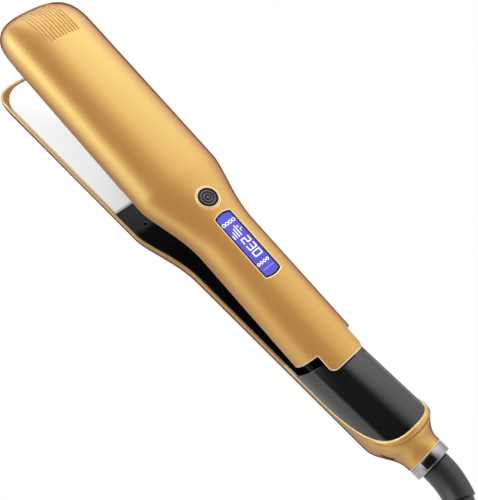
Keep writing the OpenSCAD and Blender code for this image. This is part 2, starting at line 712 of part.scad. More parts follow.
// ---------- display ----------
lens_z = 15.55;
gasket_z = 14.3;
module display_lens() color([0.3, 0.32, 0.75]) in_upper() at_display()
  translate([0, 0, lens_z]) linear_extrude(height = 0.95) display_plan(0.05);
module display_gasket() color(black) in_upper() at_display()
  translate([0, 0, gasket_z]) linear_extrude(height = lens_z - gasket_z) difference() {
    display_plan(0.06);
    display_plan(0.95);
  }
module lcd_glass() color([0.4, 0.4, 0.85]) in_upper() at_display() {
  block(about(0, 18.4), about(0, 5.6), [13.1, 14.25]);
  block(about(0, 17), about(0, 4), [12.6, 13.15]);
}
module lcd_backlight() color([0.25, 0.3, 0.9]) in_upper() at_display() {
  block(about(0, 17), about(0, 4), [11.2, 12.55]);
  block([17, 18.6], about(0, 1.6), [10.8, 12.4]);
  block([16.4, 18.2], about(0, 1.2), [11.4, 12.2]);
}
module lcd_contact_strips() color([0.35, 0.35, 0.37]) in_upper() at_display()
  for (s = [-1, 1]) block(about(0, 16.5), about(s * 5, 0.5), [10.65, 13.05]);

// ---------- control board ----------
module control_board() color([0.1, 0.36, 0.2]) in_upper() difference() {
  block([-112, -40], [-11, 11], board_z);
  for (x = [-109, -43], y = [-8.5, 8.5]) z_rod(1.3, [0, 20], x, y);
}
// body, metal tab and three legs
module board_triac() color([0.1, 0.1, 0.11]) in_upper() {
  block([-50, -41.8], [-2.6, 7], [11, 13.6]);
  block([-41.9, -40.9], [-2.4, 6.8], [11, 12]);
  for (y = [-0.4, 2.2, 4.8]) block([-53, -49.9], about(y, 0.4), [board_z[1], 11.6]);
}
module board_capacitor() color([0.85, 0.72, 0.12]) in_upper() {
  block([-62, -48], [-9, -2.5], [3.8, 8.4]);
  for (x = [-60, -50]) z_rod(0.4, [8.3, board_z[0]], x, -5.7, 32);
}
module board_chip() color([0.08, 0.08, 0.09]) in_upper() {
  leg_pitch = 0.6;
  block([-83, -76], [-3.5, 3.5], [7.6, 8.8]);
  for (i = [-5 : 5], s = [-1, 1])
    block(about(-79.5 + i * leg_pitch, 0.13), on_side(s, [3.4, 4.4]), [8.5, board_z[0]]);
}
module board_fuse() color([0.85, 0.85, 0.8]) in_upper() {
  x_rod(1.55, [-66, -58], 5.5, 7);
  for (x = [-66.9, -58.1]) block([x, x + 1], [3.7, 7.3], [5.2, 8.95]);
}
terminals_y = [3.2, 7.2];
terminals_z = 6.6;
module board_terminals() color([0.9, 0.9, 0.86]) in_upper() difference() {
  block([-46, -41], [1, 9.5], [4.6, board_z[0]]);
  for (y = terminals_y) x_rod(1.2, [-50, -30], y, terminals_z);
}
module upper_screws() color(screw_steel) in_upper()
  for (x = upper_screws_x) translate([x, 0, 9.6]) mirror([0, 0, 1]) screw(6.9);
// x, y, z along the leads from the board terminals towards the hinge
supply_paths = [
  [[-44, terminals_y[0], terminals_z], [-40.5, 3.6, 6.7], [-37, 4.4, 8.6], [-33, 4.6, 9.9],
    [-25, 1.6, 9.7], [-17.6, 0.6, 6.4]],
  [[-44, terminals_y[1], terminals_z], [-40.5, 7.2, 6.7], [-37, 7.2, 8.6], [-33, 7.2, 10],
    [-25, 4.3, 10.1], [-20, 2.9, 8.4], [-17.6, 2.8, 7.4]]];
module upper_leads() color([0.75, 0.2, 0.18]) in_upper() {
  for (path = supply_paths) lead(path, 0.75);
  // pair from the board to the heater
  for (s = [1, -1])
    lead([[-112.4, s * 6, 7.4], [-122, s * 7.5, 7], [-134, s * 6, 7], [-145.6, s * 4, 5.4]], 0.8);
}

// ---------- swivelling cord ----------
droop = 4;            // the cord leaves sideways and a little downwards
bend1_r = 34;
bend1_angle = 34;
bend2_r = 140;
bend2_angle = 10;
boot_x = ring_end + 0.4;
bend1_centre = [boot_x + 1.5, bend1_r];
bend2_start = -90 + bend1_angle;
bend2_centre = bend1_centre - (bend2_r - bend1_r) * [cos(bend2_start), sin(bend2_start)];
end_angle = bend2_start + bend2_angle;
end_place = bend2_centre + bend2_r * [cos(end_angle), sin(end_angle)];
cord_bore_r = cord_r + 0.05;
core_y = 1.45;
core_r = 1.12;
hub_step_x = 34;      // the hub narrows here, towards -X
groove_r = 3.7;       // bottom of the contact ring grooves

module in_cord() { translate([0, 0, axis_z]) rotate([180 + droop, 0, 0]) children(); }
// part of a bend; angles are counted from where the bend starts
module arc(centre, bend_r, start, r, angles, sides) {
  translate([centre.x, centre.y, 0]) rotate([0, 0, start + angles[0]])
    rotate_extrude(angle = angles[1] - angles[0], $fn = sides)
      translate([bend_r, 0]) circle(r = r, $fn = 64);
}
module arc1(r, angles) { arc(bend1_centre, bend1_r, -90, r, angles, 96); }
module arc2(r, angles) { arc(bend2_centre, bend2_r, bend2_start, r, angles, 360); }
// straight end of the cord, running along local z
module in_cord_end() {
  translate([end_place.x, end_place.y, 0]) rotate([0, 0, end_angle + 90])
    rotate([0, 90, 0]) children();
}

// radius, start and end angle of the boot round the first bend
boot_parts = [[7, 0, 12], [6.85, 11.8, 26.5], [5.7, 26.3, 29.7], [6.6, 29.5, bend1_angle]];
module cord_boot() color([0.07, 0.07, 0.08]) in_cord() difference() {
  union() {
    x_rod(7.1, [boot_x, boot_x + 1.6]);
    for (part = boot_parts) arc1(part[0], [part[1], part[2]]);
    arc2(5.2, [-0.05, bend2_angle]);
    // ribs that shrink along the second bend
    for (i = [0 : 4])
      arc2(6.1 - 0.4 * i + (i > 2 ? 0.2 * (i - 2) : 0), [2 * i + 0.8, 2 * i + 2]);
  }
  x_rod(cord_bore_r, [boot_x - 1, boot_x + 1.51]);
  arc1(cord_bore_r, [-0.02, bend1_angle + 0.02]);
  arc2(cord_bore_r, [-0.02, bend2_angle + 0.2]);
}
module power_cord() color([0.08, 0.08, 0.09]) in_cord() {
  x_rod(cord_r, [36, boot_x + 1.51]);
  arc1(cord_r - 0.02, [0, bend1_angle + 0.01]);
  arc2(cord_r, [0, bend2_angle + 0.01]);
  difference() {
    in_cord_end() z_rod(cord_r - 0.02, [0, cord_l], sides = 64);
    for (s = [-1, 1])
      in_cord_end() z_rod(core_r + 0.05, [cord_l - 6, cord_l + 4], y = s * core_y);
  }
}
module cord_cores() color([0.7, 0.45, 0.2]) in_cord() in_cord_end()
  for (s = [-1, 1]) z_rod(core_r, [cord_l - 5.9, cord_l + 1.5], y = s * core_y);
module swivel_hub() color([0.16, 0.16, 0.17]) in_cord() difference() {
  union() {
    x_rod(5.5, [hub_step_x, boot_x]);
    x_rod(6.6, [hub_step_x, 36.3]);
    x_rod(4.2, [21, hub_step_x + 0.01]);
  }
  x_rod(cord_bore_r, [35.9, 70]);
  x_rod(1.6, [24, 36]);
  for (i = [0, 1]) difference() {
    x_rod(5, contact_span(i, 0.2));
    x_rod(groove_r, [20, 40]);
  }
}
module hub_contact_rings() color(contact_brass) in_cord() for (i = [0, 1]) difference() {
  x_rod(4.5, contact_span(i, 0.1));
  x_rod(groove_r + 0.05, [20, 40]);
}

lower_shell();
lower_inner_frame();
hinge_housing();
swivel_ring();
ring_window();
swivel_socket();
slip_contacts();
lower_plate();
lower_heater();
lower_heater_clip();
lower_plate_cradle();
lower_plate_pads();
lower_thermistor();
thermal_fuse();
ion_emitter();
ion_module();
lower_screws();
lower_leads();
hinge_pin();
hinge_pin_clips();
hinge_bushes();
hinge_spring();
upper_shell();
upper_inner_frame();
upper_plate();
upper_heater();
upper_heater_clip();
upper_plate_cradle();
upper_plate_pads();
upper_thermistor();
button_bezel();
power_button();
button_return_ring();
tact_switch();
display_lens();
display_gasket();
lcd_glass();
lcd_backlight();
lcd_contact_strips();
control_board();
board_triac();
board_capacitor();
board_chip();
board_fuse();
board_terminals();
upper_screws();
upper_leads();
swivel_hub();
hub_contact_rings();
cord_boot();
power_cord();
cord_cores();
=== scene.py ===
"""A hair straightening iron lying open on a white floor.

The tip points to -x and the cord to +x, y runs across and z is up. The hinge is at x = 0.
Sizes are in mm, with z measured from the lower arm's axis; placing a piece turns them to metres.
The upper arm is modelled closed and then turned open about the hinge.
"""
import math
from collections import namedtuple

import bmesh
import bpy
import numpy as np
from mathutils import Matrix, Vector
from mathutils.geometry import delaunay_2d_cdt


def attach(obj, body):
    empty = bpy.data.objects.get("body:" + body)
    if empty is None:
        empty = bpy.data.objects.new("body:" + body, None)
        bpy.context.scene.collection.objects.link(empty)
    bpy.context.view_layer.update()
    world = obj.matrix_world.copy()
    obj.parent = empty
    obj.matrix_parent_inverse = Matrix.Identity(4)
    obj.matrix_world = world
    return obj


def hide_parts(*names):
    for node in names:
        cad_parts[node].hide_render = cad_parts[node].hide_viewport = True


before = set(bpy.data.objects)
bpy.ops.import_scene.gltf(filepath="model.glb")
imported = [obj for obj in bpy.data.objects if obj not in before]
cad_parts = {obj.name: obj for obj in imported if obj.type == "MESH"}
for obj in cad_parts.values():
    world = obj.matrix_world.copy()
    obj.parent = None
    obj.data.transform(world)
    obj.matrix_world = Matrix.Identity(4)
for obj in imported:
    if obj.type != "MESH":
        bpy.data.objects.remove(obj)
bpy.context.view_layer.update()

# ------------------------------------------------------------------ driving sizes
MM = 0.001
AXIS_Z = 13.2  # lower arm's axis over the floor
PIVOT_Z = 0.95  # hinge pivot over the axis
OPEN = math.radians(10.2)
UPPER_RIM, LOWER_RIM = 1.8, 1.9  # shell edges, above and below the axis
BARREL_W, HANDLE_W = 22.9, 15.6  # half-widths
SQUARE = 2.42  # superellipse exponent of the sections
UPPER_TIP, LOWER_TIP = 233.5, 236.9  # reach of the arms toward -x
UPPER_NOSE, LOWER_NOSE = 24.0, 19.0  # lengths of the rounded noses
BARREL_TOP, HANDLE_TOP = 18.0, 16.8
BARREL_BOTTOM, HANDLE_BOTTOM = 13.5, 13.5
HOUSE_W, HOUSE_TOP, HOUSE_BASE = 15.35, 14.7, 1.8  # half-width, height, depth under the axis
TAIL_TOP = HOUSE_TOP + 0.5
TAIL_X, RING_R = 45.1, 9.3  # where the shell ends, and the round end's radius
WALL = 1.4
BEZEL_R, BUTTON_X, BUTTON_TOP = 5.42, 100.8, 17.35
DISPLAY_X, DISPLAY_L, DISPLAY_W, DISPLAY_BULGE = 73.5, 34.0, 9.4, 1.1
LIP_START_X, LIP_END_X = -2.0, 33.3  # the lower shell's edge where it climbs over the housing
RIM_STEPS = 5  # steps in each quarter of a rounded rim

# ------------------------------------------------------------------ curves along x


def clamp(u):
    return np.clip(u, 0, 1)


def smooth(u):
    c = clamp(u)
    return c * c * (3 - 2 * c)


def rise(x, start, length):
    """Smooth step from 0 to 1."""
    return smooth((x - start) / length)


def mix(a, b, share):
    return a + (b - a) * share


def neck(x):
    """0 at the barrel, 1 at the handle."""
    return smooth(clamp((x + 118) / 36) ** 0.8)


def half_width(x):
    return mix(BARREL_W, HANDLE_W, neck(x))


def upper_top(x):
    return mix(BARREL_TOP, HANDLE_TOP, neck(x))


def nose(x, tip, length, power):
    u = clamp((length - tip - x) / length)
    return np.maximum(1 - u**power, 1e-9) ** (1 / power)


def lip_z(x):
    u = clamp((x - LIP_START_X) / (LIP_END_X - LIP_START_X))
    return -LOWER_RIM + (TAIL_TOP + LOWER_RIM) * (1 - (1 - u**2.2) ** 0.75)


# A section gives: half-width, height from the centre to the crest, height to the opposite
# crest (or None), centre z, exponent.


def upper_section(x):
    width = half_width(x) * nose(x, UPPER_TIP, UPPER_NOSE, 3.2)
    height = (upper_top(x) - UPPER_RIM) * nose(x, UPPER_TIP, UPPER_NOSE, 2)
    return width, height, None, np.full_like(x, UPPER_RIM), np.full_like(x, SQUARE)


def lower_section(x):
    """The crest is the underside; toward the tail the section closes to a circle."""
    tail_width = mix(1, RING_R / HANDLE_W, rise(x, 26, 17))
    width = half_width(x) * nose(x, LOWER_TIP, LOWER_NOSE, 4) * tail_width
    centre = mix(-LOWER_RIM, 0, rise(x, 24, 21))
    bottom = mix(mix(BARREL_BOTTOM, HANDLE_BOTTOM, neck(x)), RING_R, rise(x, 25, 17))
    height = -(bottom + centre) * nose(x, LOWER_TIP, LOWER_NOSE, 2.3)
    top = mix(TAIL_TOP, RING_R, rise(x, 33.5, 9.3))
    return width, height, top - centre, centre, mix(SQUARE, 2, rise(x, 30, 13))


def housing_section(x):
    one = np.ones_like(x)
    return HOUSE_W * one, (HOUSE_TOP + HOUSE_BASE) * one, None, -HOUSE_BASE * one, SQUARE * one


# ------------------------------------------------------------------ placing, mm to metres


def in_lower(points):
    placed = np.array(points, float)
    placed[:, 2] += AXIS_Z
    return placed * MM


def turn_upper(vectors):
    turned = np.array(vectors, float)
    x, z = turned[:, 0].copy(), turned[:, 2].copy()
    c, s = math.cos(OPEN), math.sin(OPEN)
    turned[:, 0] = x * c + z * s
    turned[:, 2] = -x * s + z * c
    return turned


def in_upper(points):
    placed = np.array(points, float)
    placed[:, 2] -= PIVOT_Z
    placed = turn_upper(placed)
    placed[:, 2] = placed[:, 2] + PIVOT_Z + AXIS_Z
    return placed * MM


def unturned(vectors):
    return np.array(vectors, float)


# ------------------------------------------------------------------ skins

# reference quarter section: share of arc length from the crest (90 deg) to the side (0 deg)
REF_ANGLE = np.linspace(math.pi / 2, 0, 1201)
ref_y = BARREL_W * np.abs(np.cos(REF_ANGLE)) ** (2 / SQUARE)
ref_z = 16.0 * np.abs(np.sin(REF_ANGLE)) ** (2 / SQUARE)
ref_length = np.concatenate([[0], np.cumsum(np.hypot(np.diff(ref_y), np.diff(ref_z)))])
REF_SHARE = ref_length / ref_length[-1]


def angle_of(share):
    return np.interp(share, REF_SHARE, REF_ANGLE)


def share_of(angle):
    return np.interp(-np.asarray(angle), -REF_ANGLE, REF_SHARE)


def quarter_length(width, height, power):
    """Arc length of one quarter of each section."""
    angles = REF_ANGLE[::6]
    c, s = np.abs(np.cos(angles))[None, :], np.abs(np.sin(angles))[None, :]
    k = 2 / np.asarray(power, float).reshape(-1, 1)
    y, z = np.reshape(width, (-1, 1)) * c**k, np.reshape(height, (-1, 1)) * s**k
    return np.hypot(np.diff(y, axis=1), np.diff(z, axis=1)).sum(1)


class Skin:
    """A surface of superellipse sections along x, seen as a flat strip: u is length along
    the crest from the tip end, v is length round the section from the crest."""

    def __init__(self, x0, x1, section, nosed=False):
        xs = np.linspace(x0, x1, 2600)
        if nosed:  # closer stations near the tip
            xs = np.unique(np.concatenate([x0 + 24 * np.linspace(0, 1, 900) ** 2.6, xs]))
        self.xs, self.section = xs, section
        width, height, height2, centre, power = section(xs)
        self.sign = 1 if np.mean(height) >= 0 else -1
        steps = np.hypot(np.diff(xs), np.diff(centre + height))
        self.us = np.concatenate([[0], np.cumsum(steps)])
        self.first = quarter_length(width, np.abs(height), power)
        if height2 is not None:
            self.second = quarter_length(width, np.abs(height2), power)

    def x_of(self, u):
        return np.interp(u, self.us, self.xs)

    def u_of(self, x):
        return np.interp(x, self.xs, self.us)

    def v_side(self, u):
        """v at the side, a quarter round."""
        return np.interp(u, self.us, self.first)

    def v_far(self, u):
        """v at the opposite crest, half round."""
        return np.interp(u, self.us, self.first + self.second)

    def from_plan(self, x, y):
        """(u, v) of points on the crest side, seen along z."""
        width, _, _, _, power = self.section(x)
        angle = np.arccos(clamp(np.abs(y) / width) ** (power / 2))
        u = self.u_of(x)
        return np.stack([u, share_of(angle) * self.v_side(u)], 1)

    def at(self, u, v):
        x = self.x_of(u)
        width, height, height2, centre, power = self.section(x)
        side = np.maximum(self.v_side(u), 1e-9)
        angle = angle_of(clamp(v / side))
        y = width * np.abs(np.cos(angle)) ** (2 / power)
        z = centre + height * np.abs(np.sin(angle)) ** (2 / power)
        if height2 is not None:
            second = np.maximum(np.interp(u, self.us, self.second), 1e-9)
            angle = angle_of(clamp(1 - (v - side) / second))
            over = v > side
            y = np.where(over, width * np.abs(np.cos(angle)) ** (2 / power), y)
            z = np.where(over, centre + height2 * np.abs(np.sin(angle)) ** (2 / power), z)
        y = np.where(np.abs(y) < 1e-6, 0, y)
        return np.stack([x, y, z], 1)

    def implicit(self, points):
        width, height, height2, centre, power = self.section(points[:, 0])
        dz = points[:, 2] - centre
        reach = np.abs(height)
        if height2 is not None:
            reach = np.where(dz * self.sign >= 0, reach, np.abs(height2))
        across = (np.abs(points[:, 1]) / np.maximum(width, 1e-6)) ** power
        return across + (np.abs(dz) / np.maximum(reach, 1e-6)) ** power

    def normal(self, points):
        delta = 2e-3
        slope = np.zeros_like(points)
        for i in range(3):
            step = np.zeros(3)
            step[i] = delta
            ahead = self.implicit(points + step)
            if i == 0:  # one-sided, so the tip is never passed
                slope[:, i] = (ahead - self.implicit(points)) / delta
            else:
                slope[:, i] = (ahead - self.implicit(points - step)) / (2 * delta)
        slope[:, 1] = np.where(np.abs(points[:, 1]) < 1e-6, 0, slope[:, 1])
        return slope / np.maximum(np.linalg.norm(slope, axis=1, keepdims=True), 1e-12)


# ------------------------------------------------------------------ flat outlines


def resample(points, step):
    points = np.asarray(points, float)
    along = np.concatenate([[0], np.cumsum(np.hypot(*np.diff(points, axis=0).T))])
    count = max(2, int(round(along[-1] / step)) + 1)
    at = np.linspace(0, along[-1], count)
    return np.stack([np.interp(at, along, points[:, i]) for i in (0, 1)], 1)


def inside(poly, points):
    x, y = points[:, 0], points[:, 1]
    result = np.zeros(len(points), bool)
    for (x0, y0), (x1, y1) in zip(poly, np.roll(poly, -1, axis=0)):
        if y0 == y1:
            continue
        crosses = (y0 > y) != (y1 > y)
        result ^= crosses & (x < (x1 - x0) * (y - y0) / (y1 - y0) + x0)
    return result


def clearance(poly, points):
    """Distance from each point to the polygon's edges, in batches to spare memory."""
    edge = np.roll(poly, -1, axis=0) - poly
    square = np.maximum((edge**2).sum(1), 1e-12)
    result = np.zeros(len(points))
    for i in range(0, len(points), 2000):
        batch = points[i : i + 2000, None, :]
        t = np.clip(((batch - poly) * edge).sum(2) / square, 0, 1)
        away = poly + t[..., None] * edge - batch
        result[i : i + 2000] = np.sqrt((away**2).sum(2)).min(1)
    return result


def lattice_of(u0, u1, du, dv, v_max):
    """Rows of points, every second row shifted by half a step."""
    us = np.arange(u0, u1, du)
    u, v = np.meshgrid(us, np.arange(dv / 2, v_max, dv), indexing="ij")
    v = v + ((np.arange(len(us)) % 2) * dv * 0.5)[:, None]
    return np.stack([u.ravel(), v.ravel()], 1)


# ------------------------------------------------------------------ mesh helpers


def add_object(name, mesh, *materials):
    piece = bpy.data.objects.new(name, mesh)
    bpy.context.scene.collection.objects.link(piece)
    for each in materials:
        mesh.materials.append(each)
    return piece


def make_mesh(name, verts, faces, *materials, soft=True):
    mesh = bpy.data.meshes.new(name)
    mesh.from_pydata(np.asarray(verts).tolist(), [], faces)
    mesh.polygons.foreach_set("use_smooth", [soft] * len(mesh.polygons))
    mesh.update()
    return add_object(name, mesh, *materials)


def tidy(piece, angle):
    """Merges doubled points, turns the faces outward and marks sharp edges."""
    bm = bmesh.new()
    bm.from_mesh(piece.data)
    bmesh.ops.remove_doubles(bm, verts=bm.verts, dist=1e-7)
    bmesh.ops.recalc_face_normals(bm, faces=bm.faces)
    bm.to_mesh(piece.data)
    bm.free()
    piece.data.set_sharp_from_angle(angle=math.radians(angle))


def mount(piece, part, replaced):
    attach(piece, part)
    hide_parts(replaced)


def tube_faces(rows, count):
    """Quads between neighbouring rings of count points."""
    return [(i * count + j, i * count + (j + 1) % count,
             (i + 1) * count + (j + 1) % count, (i + 1) * count + j)
            for i in range(rows - 1) for j in range(count)]


# ------------------------------------------------------------------ sheets with rounded rims

# A stretch of the y = 0 seam: its v at a given u, its direction along u, its point spacing
Seam = namedtuple("Seam", "v_at direction spacing")


def crest_seam(spacing):
    return Seam(lambda u: 0.0, 1, spacing)


def rim_path(skin, points, before, after):
    """The rim's points and their inward steps in (u, v), each 1 mm long on the surface."""
    points = np.asarray(points, float)
    tangent = np.gradient(points, axis=0)
    tangent /= np.maximum(np.linalg.norm(tangent, axis=1, keepdims=True), 1e-12)
    inward = np.stack([-tangent[:, 1], tangent[:, 0]], 1)
    inward[0] = [-before.direction, 0]
    inward[-1] = [after.direction, 0]
    probe = 0.02
    shift = skin.at(*(points + inward * probe).T) - skin.at(*points.T)
    speed = np.clip(np.linalg.norm(shift, axis=1) / probe, 0.25, 6)
    return points, inward / speed[:, None]


def shell(name, skin, outline, lattice, thick, radius, gap, place, turn, groove, materials,
          flat_z=None, flip=False, meshed=None, slots=None):
    """A sheet with rounded rims over half a skin, mirrored to the other half.

    outline: (seam, rim points) pairs, anticlockwise in (u, v)
    lattice: points inside the outline, kept where they are at least gap from its edge
    groove(points): depth sunk into the outer face, negative outward
    meshed(points): where normals come from the mesh and not from the skin
    slots(side, points): material slots of the outer, inner or rim faces
    """
    count = len(outline)
    seams = [seam for seam, _ in outline]
    after = seams[1:] + seams[:1]
    rims = [rim_path(skin, outline[i][1], seams[i], after[i]) for i in range(count)]

    def inset(i, depth):
        points, inward = rims[i]
        moved = points + inward * depth
        moved[:, 1] = np.maximum(moved[:, 1], 0)
        moved[0, 1] = seams[i].v_at(moved[0, 0])
        moved[-1, 1] = after[i].v_at(moved[-1, 0])
        return moved

    def surface(uv):
        points = skin.at(*uv.T)
        normals = skin.normal(points)
        if flat_z is not None:
            low = points[:, 2] < flat_z
            points[low, 2] = flat_z
            normals[low] = [0, 0, -1]
        return points, normals

    # flat polygon inside the rounded rims, filled with triangles
    rings = [inset(i, radius) for i in range(count)]
    poly, starts = [], []
    for i, (seam, ring) in enumerate(zip(seams, rings)):
        u0, u1 = rings[i - 1][-1][0], ring[0][0]
        pieces = max(1, int(abs(u1 - u0) / seam.spacing))
        poly += [[u, float(seam.v_at(u))] for u in np.linspace(u0, u1, pieces + 1)[1:-1]]
        starts.append(len(poly))
        poly += ring.tolist()
    poly = np.array(poly)
    fill = lattice[inside(poly, lattice)]
    fill = fill[clearance(poly, fill) > gap]
    corners = len(poly)
    points = [Vector(p) for p in np.concatenate([poly, fill])]
    edges = [(i, (i + 1) % corners) for i in range(corners)]
    found, _, triangles, sources = delaunay_2d_cdt(points, edges, [], 0, 1e-7, True)[:4]
    uv = np.array([[p.x, p.y] for p in found])
    index_of = {old: new for new, olds in enumerate(sources) for old in olds}
    tris = np.array(list(triangles), int)
    tris = tris[inside(poly, uv[tris].mean(1))]

    base, normal = surface(uv)
    size = len(base)
    own = np.ones(size, bool) if meshed is None else ~meshed(base)
    verts = [base - normal * groove(base)[:, None], base - normal * thick]
    normals = [normal, -normal]
    flags = [own, np.ones(size, bool)]
    faces = [tris, tris[:, ::-1] + size]

    # rim rows: (inset, depth under the skin, angle, outer or inner half)
    quarter = np.linspace(0, math.pi / 2, RIM_STEPS + 1)
    levels = [(radius * (1 - math.sin(a)), radius * (1 - math.cos(a)), a, 1)
              for a in quarter[1:]]
    levels += [(radius * (1 - math.sin(a)), thick - radius * (1 - math.cos(a)), a, -1)
               for a in quarter[::-1][:-1]]
    total = 2 * size
    for i, (start, ring) in enumerate(zip(starts, rings)):
        length = len(ring)
        outer_row = np.array([index_of[start + j] for j in range(length)])
        rows = [outer_row]
        outward = skin.at(*rims[i][0].T) - skin.at(*ring.T)
        outward /= np.maximum(np.linalg.norm(outward, axis=1, keepdims=True), 1e-9)
        for depth, under, angle, side in levels:
            p, n = surface(inset(i, depth))
            if side > 0:
                p = p - n * groove(p)[:, None] * (depth / radius)
            verts.append(p - n * under)
            normals.append(side * n * math.cos(angle) + outward * math.sin(angle))
            flags.append(np.ones(length, bool))
            rows.append(np.arange(total, total + length))
            total += length
        rows.append(outer_row + size)
        for a, b in zip(rows[:-1], rows[1:]):
            faces.append(np.stack([a[:-1], b[:-1], b[1:], a[1:]], 1))

    # mirror to -y, sharing the points on the seam
    verts, normals, flags = (np.concatenate(part) for part in (verts, normals, flags))
    on_seam = np.abs(verts[:, 1]) < 1e-5
    verts[on_seam, 1] = 0
    normals[on_seam, 1] = 0
    twin = np.arange(total)
    extra = np.where(~on_seam)[0]
    twin[extra] = total + np.arange(len(extra))
    verts = np.concatenate([verts, verts[extra] * [1, -1, 1]])
    normals = np.concatenate([normals, normals[extra] * [1, -1, 1]])
    flags = np.concatenate([flags, flags[extra]])

    centres = np.tile(base[tris].mean(1), (2, 1))
    face_list, face_slots = [], []
    for i, block in enumerate(faces):
        both = np.concatenate([block, twin[block][:, ::-1]])
        side = ("outer", "inner", "rim")[min(i, 2)]
        where = verts[both[:, 0]] if side == "rim" else centres
        block_slots = slots(side, where) if slots else np.zeros(len(both), int)
        for face, slot in zip(both.tolist(), block_slots.tolist()):
            face = tuple(dict.fromkeys(face))
            if len(face) > 2:
                face_list.append(face[::-1] if flip else face)
                face_slots.append(slot)

    piece = make_mesh(name, place(verts), face_list, *materials)
    mesh = piece.data
    normals = turn(normals)
    normals /= np.maximum(np.linalg.norm(normals, axis=1, keepdims=True), 1e-9)
    if not flags.all():
        computed = np.zeros(len(mesh.vertices) * 3, np.float32)
        mesh.vertex_normals.foreach_get("vector", computed)
        normals[~flags] = computed.reshape(-1, 3)[~flags]
    mesh.normals_split_custom_set_from_vertices(normals.tolist())
    if slots:
        mesh.polygons.foreach_set("material_index", np.array(face_slots, np.int32))
    return piece


# ------------------------------------------------------------------ shader helpers


def set_inputs(node, values):
    """Sets inputs by name or index; a socket given as a value is linked."""
    for key, value in values.items():
        if isinstance(value, bpy.types.NodeSocket):
            node.id_data.links.new(value, node.inputs[key])
        else:
            node.inputs[key].default_value = value


def add_node(tree, kind, values=None, **settings):
    node = tree.nodes.new("ShaderNode" + kind)
    for key, value in settings.items():
        setattr(node, key, value)
    set_inputs(node, values or {})
    return node


def map_range(tree, value, to_min, to_max, from_min=0.0, from_max=1.0, eased=False):
    settings = {"interpolation_type": "SMOOTHSTEP"} if eased else {}
    node = add_node(tree, "MapRange", {
        "Value": value, "From Min": from_min, "From Max": from_max,
        "To Min": to_min, "To Max": to_max}, **settings)
    return node.outputs["Result"]


def math_node(tree, operation, *values):
    return add_node(tree, "Math", dict(enumerate(values)), operation=operation).outputs[0]


# ------------------------------------------------------------------ materials
MATERIALS = {}


def material(name, color, rough=0.45, metal=0.0, spec=0.5, coat=0.0, coat_rough=0.1, ior=1.5,
             spec_tint=None, edge=None, tint=0.06, tint_scale=60, rough_var=0.08, bump=0.15,
             bump_scale=900, bump_dist=0.00004, stretch=(1, 1, 1), glow=None, glow_power=0.0,
             sheen=0.0, aniso=0.0):
    """tint and rough_var are the spread of colour and roughness.
    edge: painted shade, the share of the base colour left at a grazing view, and the facing values
    where reflection fades."""
    made = bpy.data.materials.new(name)
    made.use_nodes = True
    tree = made.node_tree
    shader = tree.nodes["Principled BSDF"]
    coords = add_node(tree, "TexCoord").outputs["Object"]
    vector = add_node(tree, "Mapping", {"Scale": stretch, "Vector": coords}).outputs["Vector"]
    cloud = add_node(tree, "TexNoise", {"Vector": vector, "Scale": tint_scale, "Detail": 4})
    base = add_node(tree, "Mix", {
        0: cloud.outputs["Fac"],
        6: (*[c * (1 - tint) for c in color], 1),
        7: (*[min(1, c * (1 + tint)) for c in color], 1)}, data_type="RGBA").outputs[2]
    fine = add_node(tree, "TexNoise", {"Vector": vector, "Scale": bump_scale, "Detail": 3})
    fine = fine.outputs["Fac"]
    roughness = map_range(tree, fine, max(0.02, rough - rough_var), min(1, rough + rough_var))
    relief = add_node(tree, "Bump", {"Strength": bump, "Distance": bump_dist, "Height": fine})
    set_inputs(shader, {
        "Roughness": roughness, "Normal": relief.outputs["Normal"], "Metallic": metal,
        "Specular IOR Level": spec, "Coat Weight": coat, "Coat Roughness": coat_rough,
        "IOR": ior})
    if edge:
        grazing_shade, fade_start, fade_end = edge
        facing = add_node(tree, "LayerWeight", {"Blend": 0.5}).outputs["Facing"]
        # painted shade: the base colour is scaled down toward a grazing view
        dim = map_range(tree, facing, 1.0, grazing_shade, from_min=fade_start + 0.08, eased=True)
        fade = map_range(tree, facing, spec, 0.0, from_min=fade_start, from_max=fade_end)
        base = add_node(tree, "VectorMath", {0: base, "Scale": dim}, operation="SCALE").outputs[0]
        set_inputs(shader, {"Specular IOR Level": fade})
    set_inputs(shader, {"Base Color": base})
    if spec_tint:
        set_inputs(shader, {"Specular Tint": (*spec_tint, 1)})
    if sheen:
        set_inputs(shader, {"Sheen Weight": sheen})
    if aniso:
        set_inputs(shader, {"Anisotropic": aniso})
    if glow:
        set_inputs(shader, {"Emission Color": (*glow, 1), "Emission Strength": glow_power})
    MATERIALS[name] = made


LACQUER = dict(tint=0.03, tint_scale=25, bump_scale=2600)
THIN_LACQUER = dict(LACQUER, bump=0.08, bump_dist=0.00002)
# the gold's base colour falls to a fifth at a grazing view, a painted shade on the flanks
material("gold_lacquer", (0.575, 0.218, 0.058), rough=0.38, spec=1.0, ior=1.8,
         spec_tint=(0.84, 0.96, 0.34), edge=(0.20, 0.34, 0.72), rough_var=0.03, bump=0.10,
         bump_dist=0.00003, **LACQUER)
# cream gold on the rounded rims, a painted highlight along the edges
material("gold_rim_lacquer", (0.98, 0.74, 0.46), rough=0.30, spec=1.0, ior=1.8,
         spec_tint=(0.9, 0.95, 0.5), rough_var=0.03, **THIN_LACQUER)
# browner gold on the groove floors, painted shade that draws the grooves as lines
material("gold_groove_lacquer", (0.66, 0.30, 0.10), rough=0.42, spec=0.6,
         spec_tint=(1, 0.9, 0.5), **THIN_LACQUER)
# darker painted shade on the groove floors near the tip
material("gold_groove_shade", (0.20, 0.085, 0.03), rough=0.5, spec=0.2, **THIN_LACQUER)
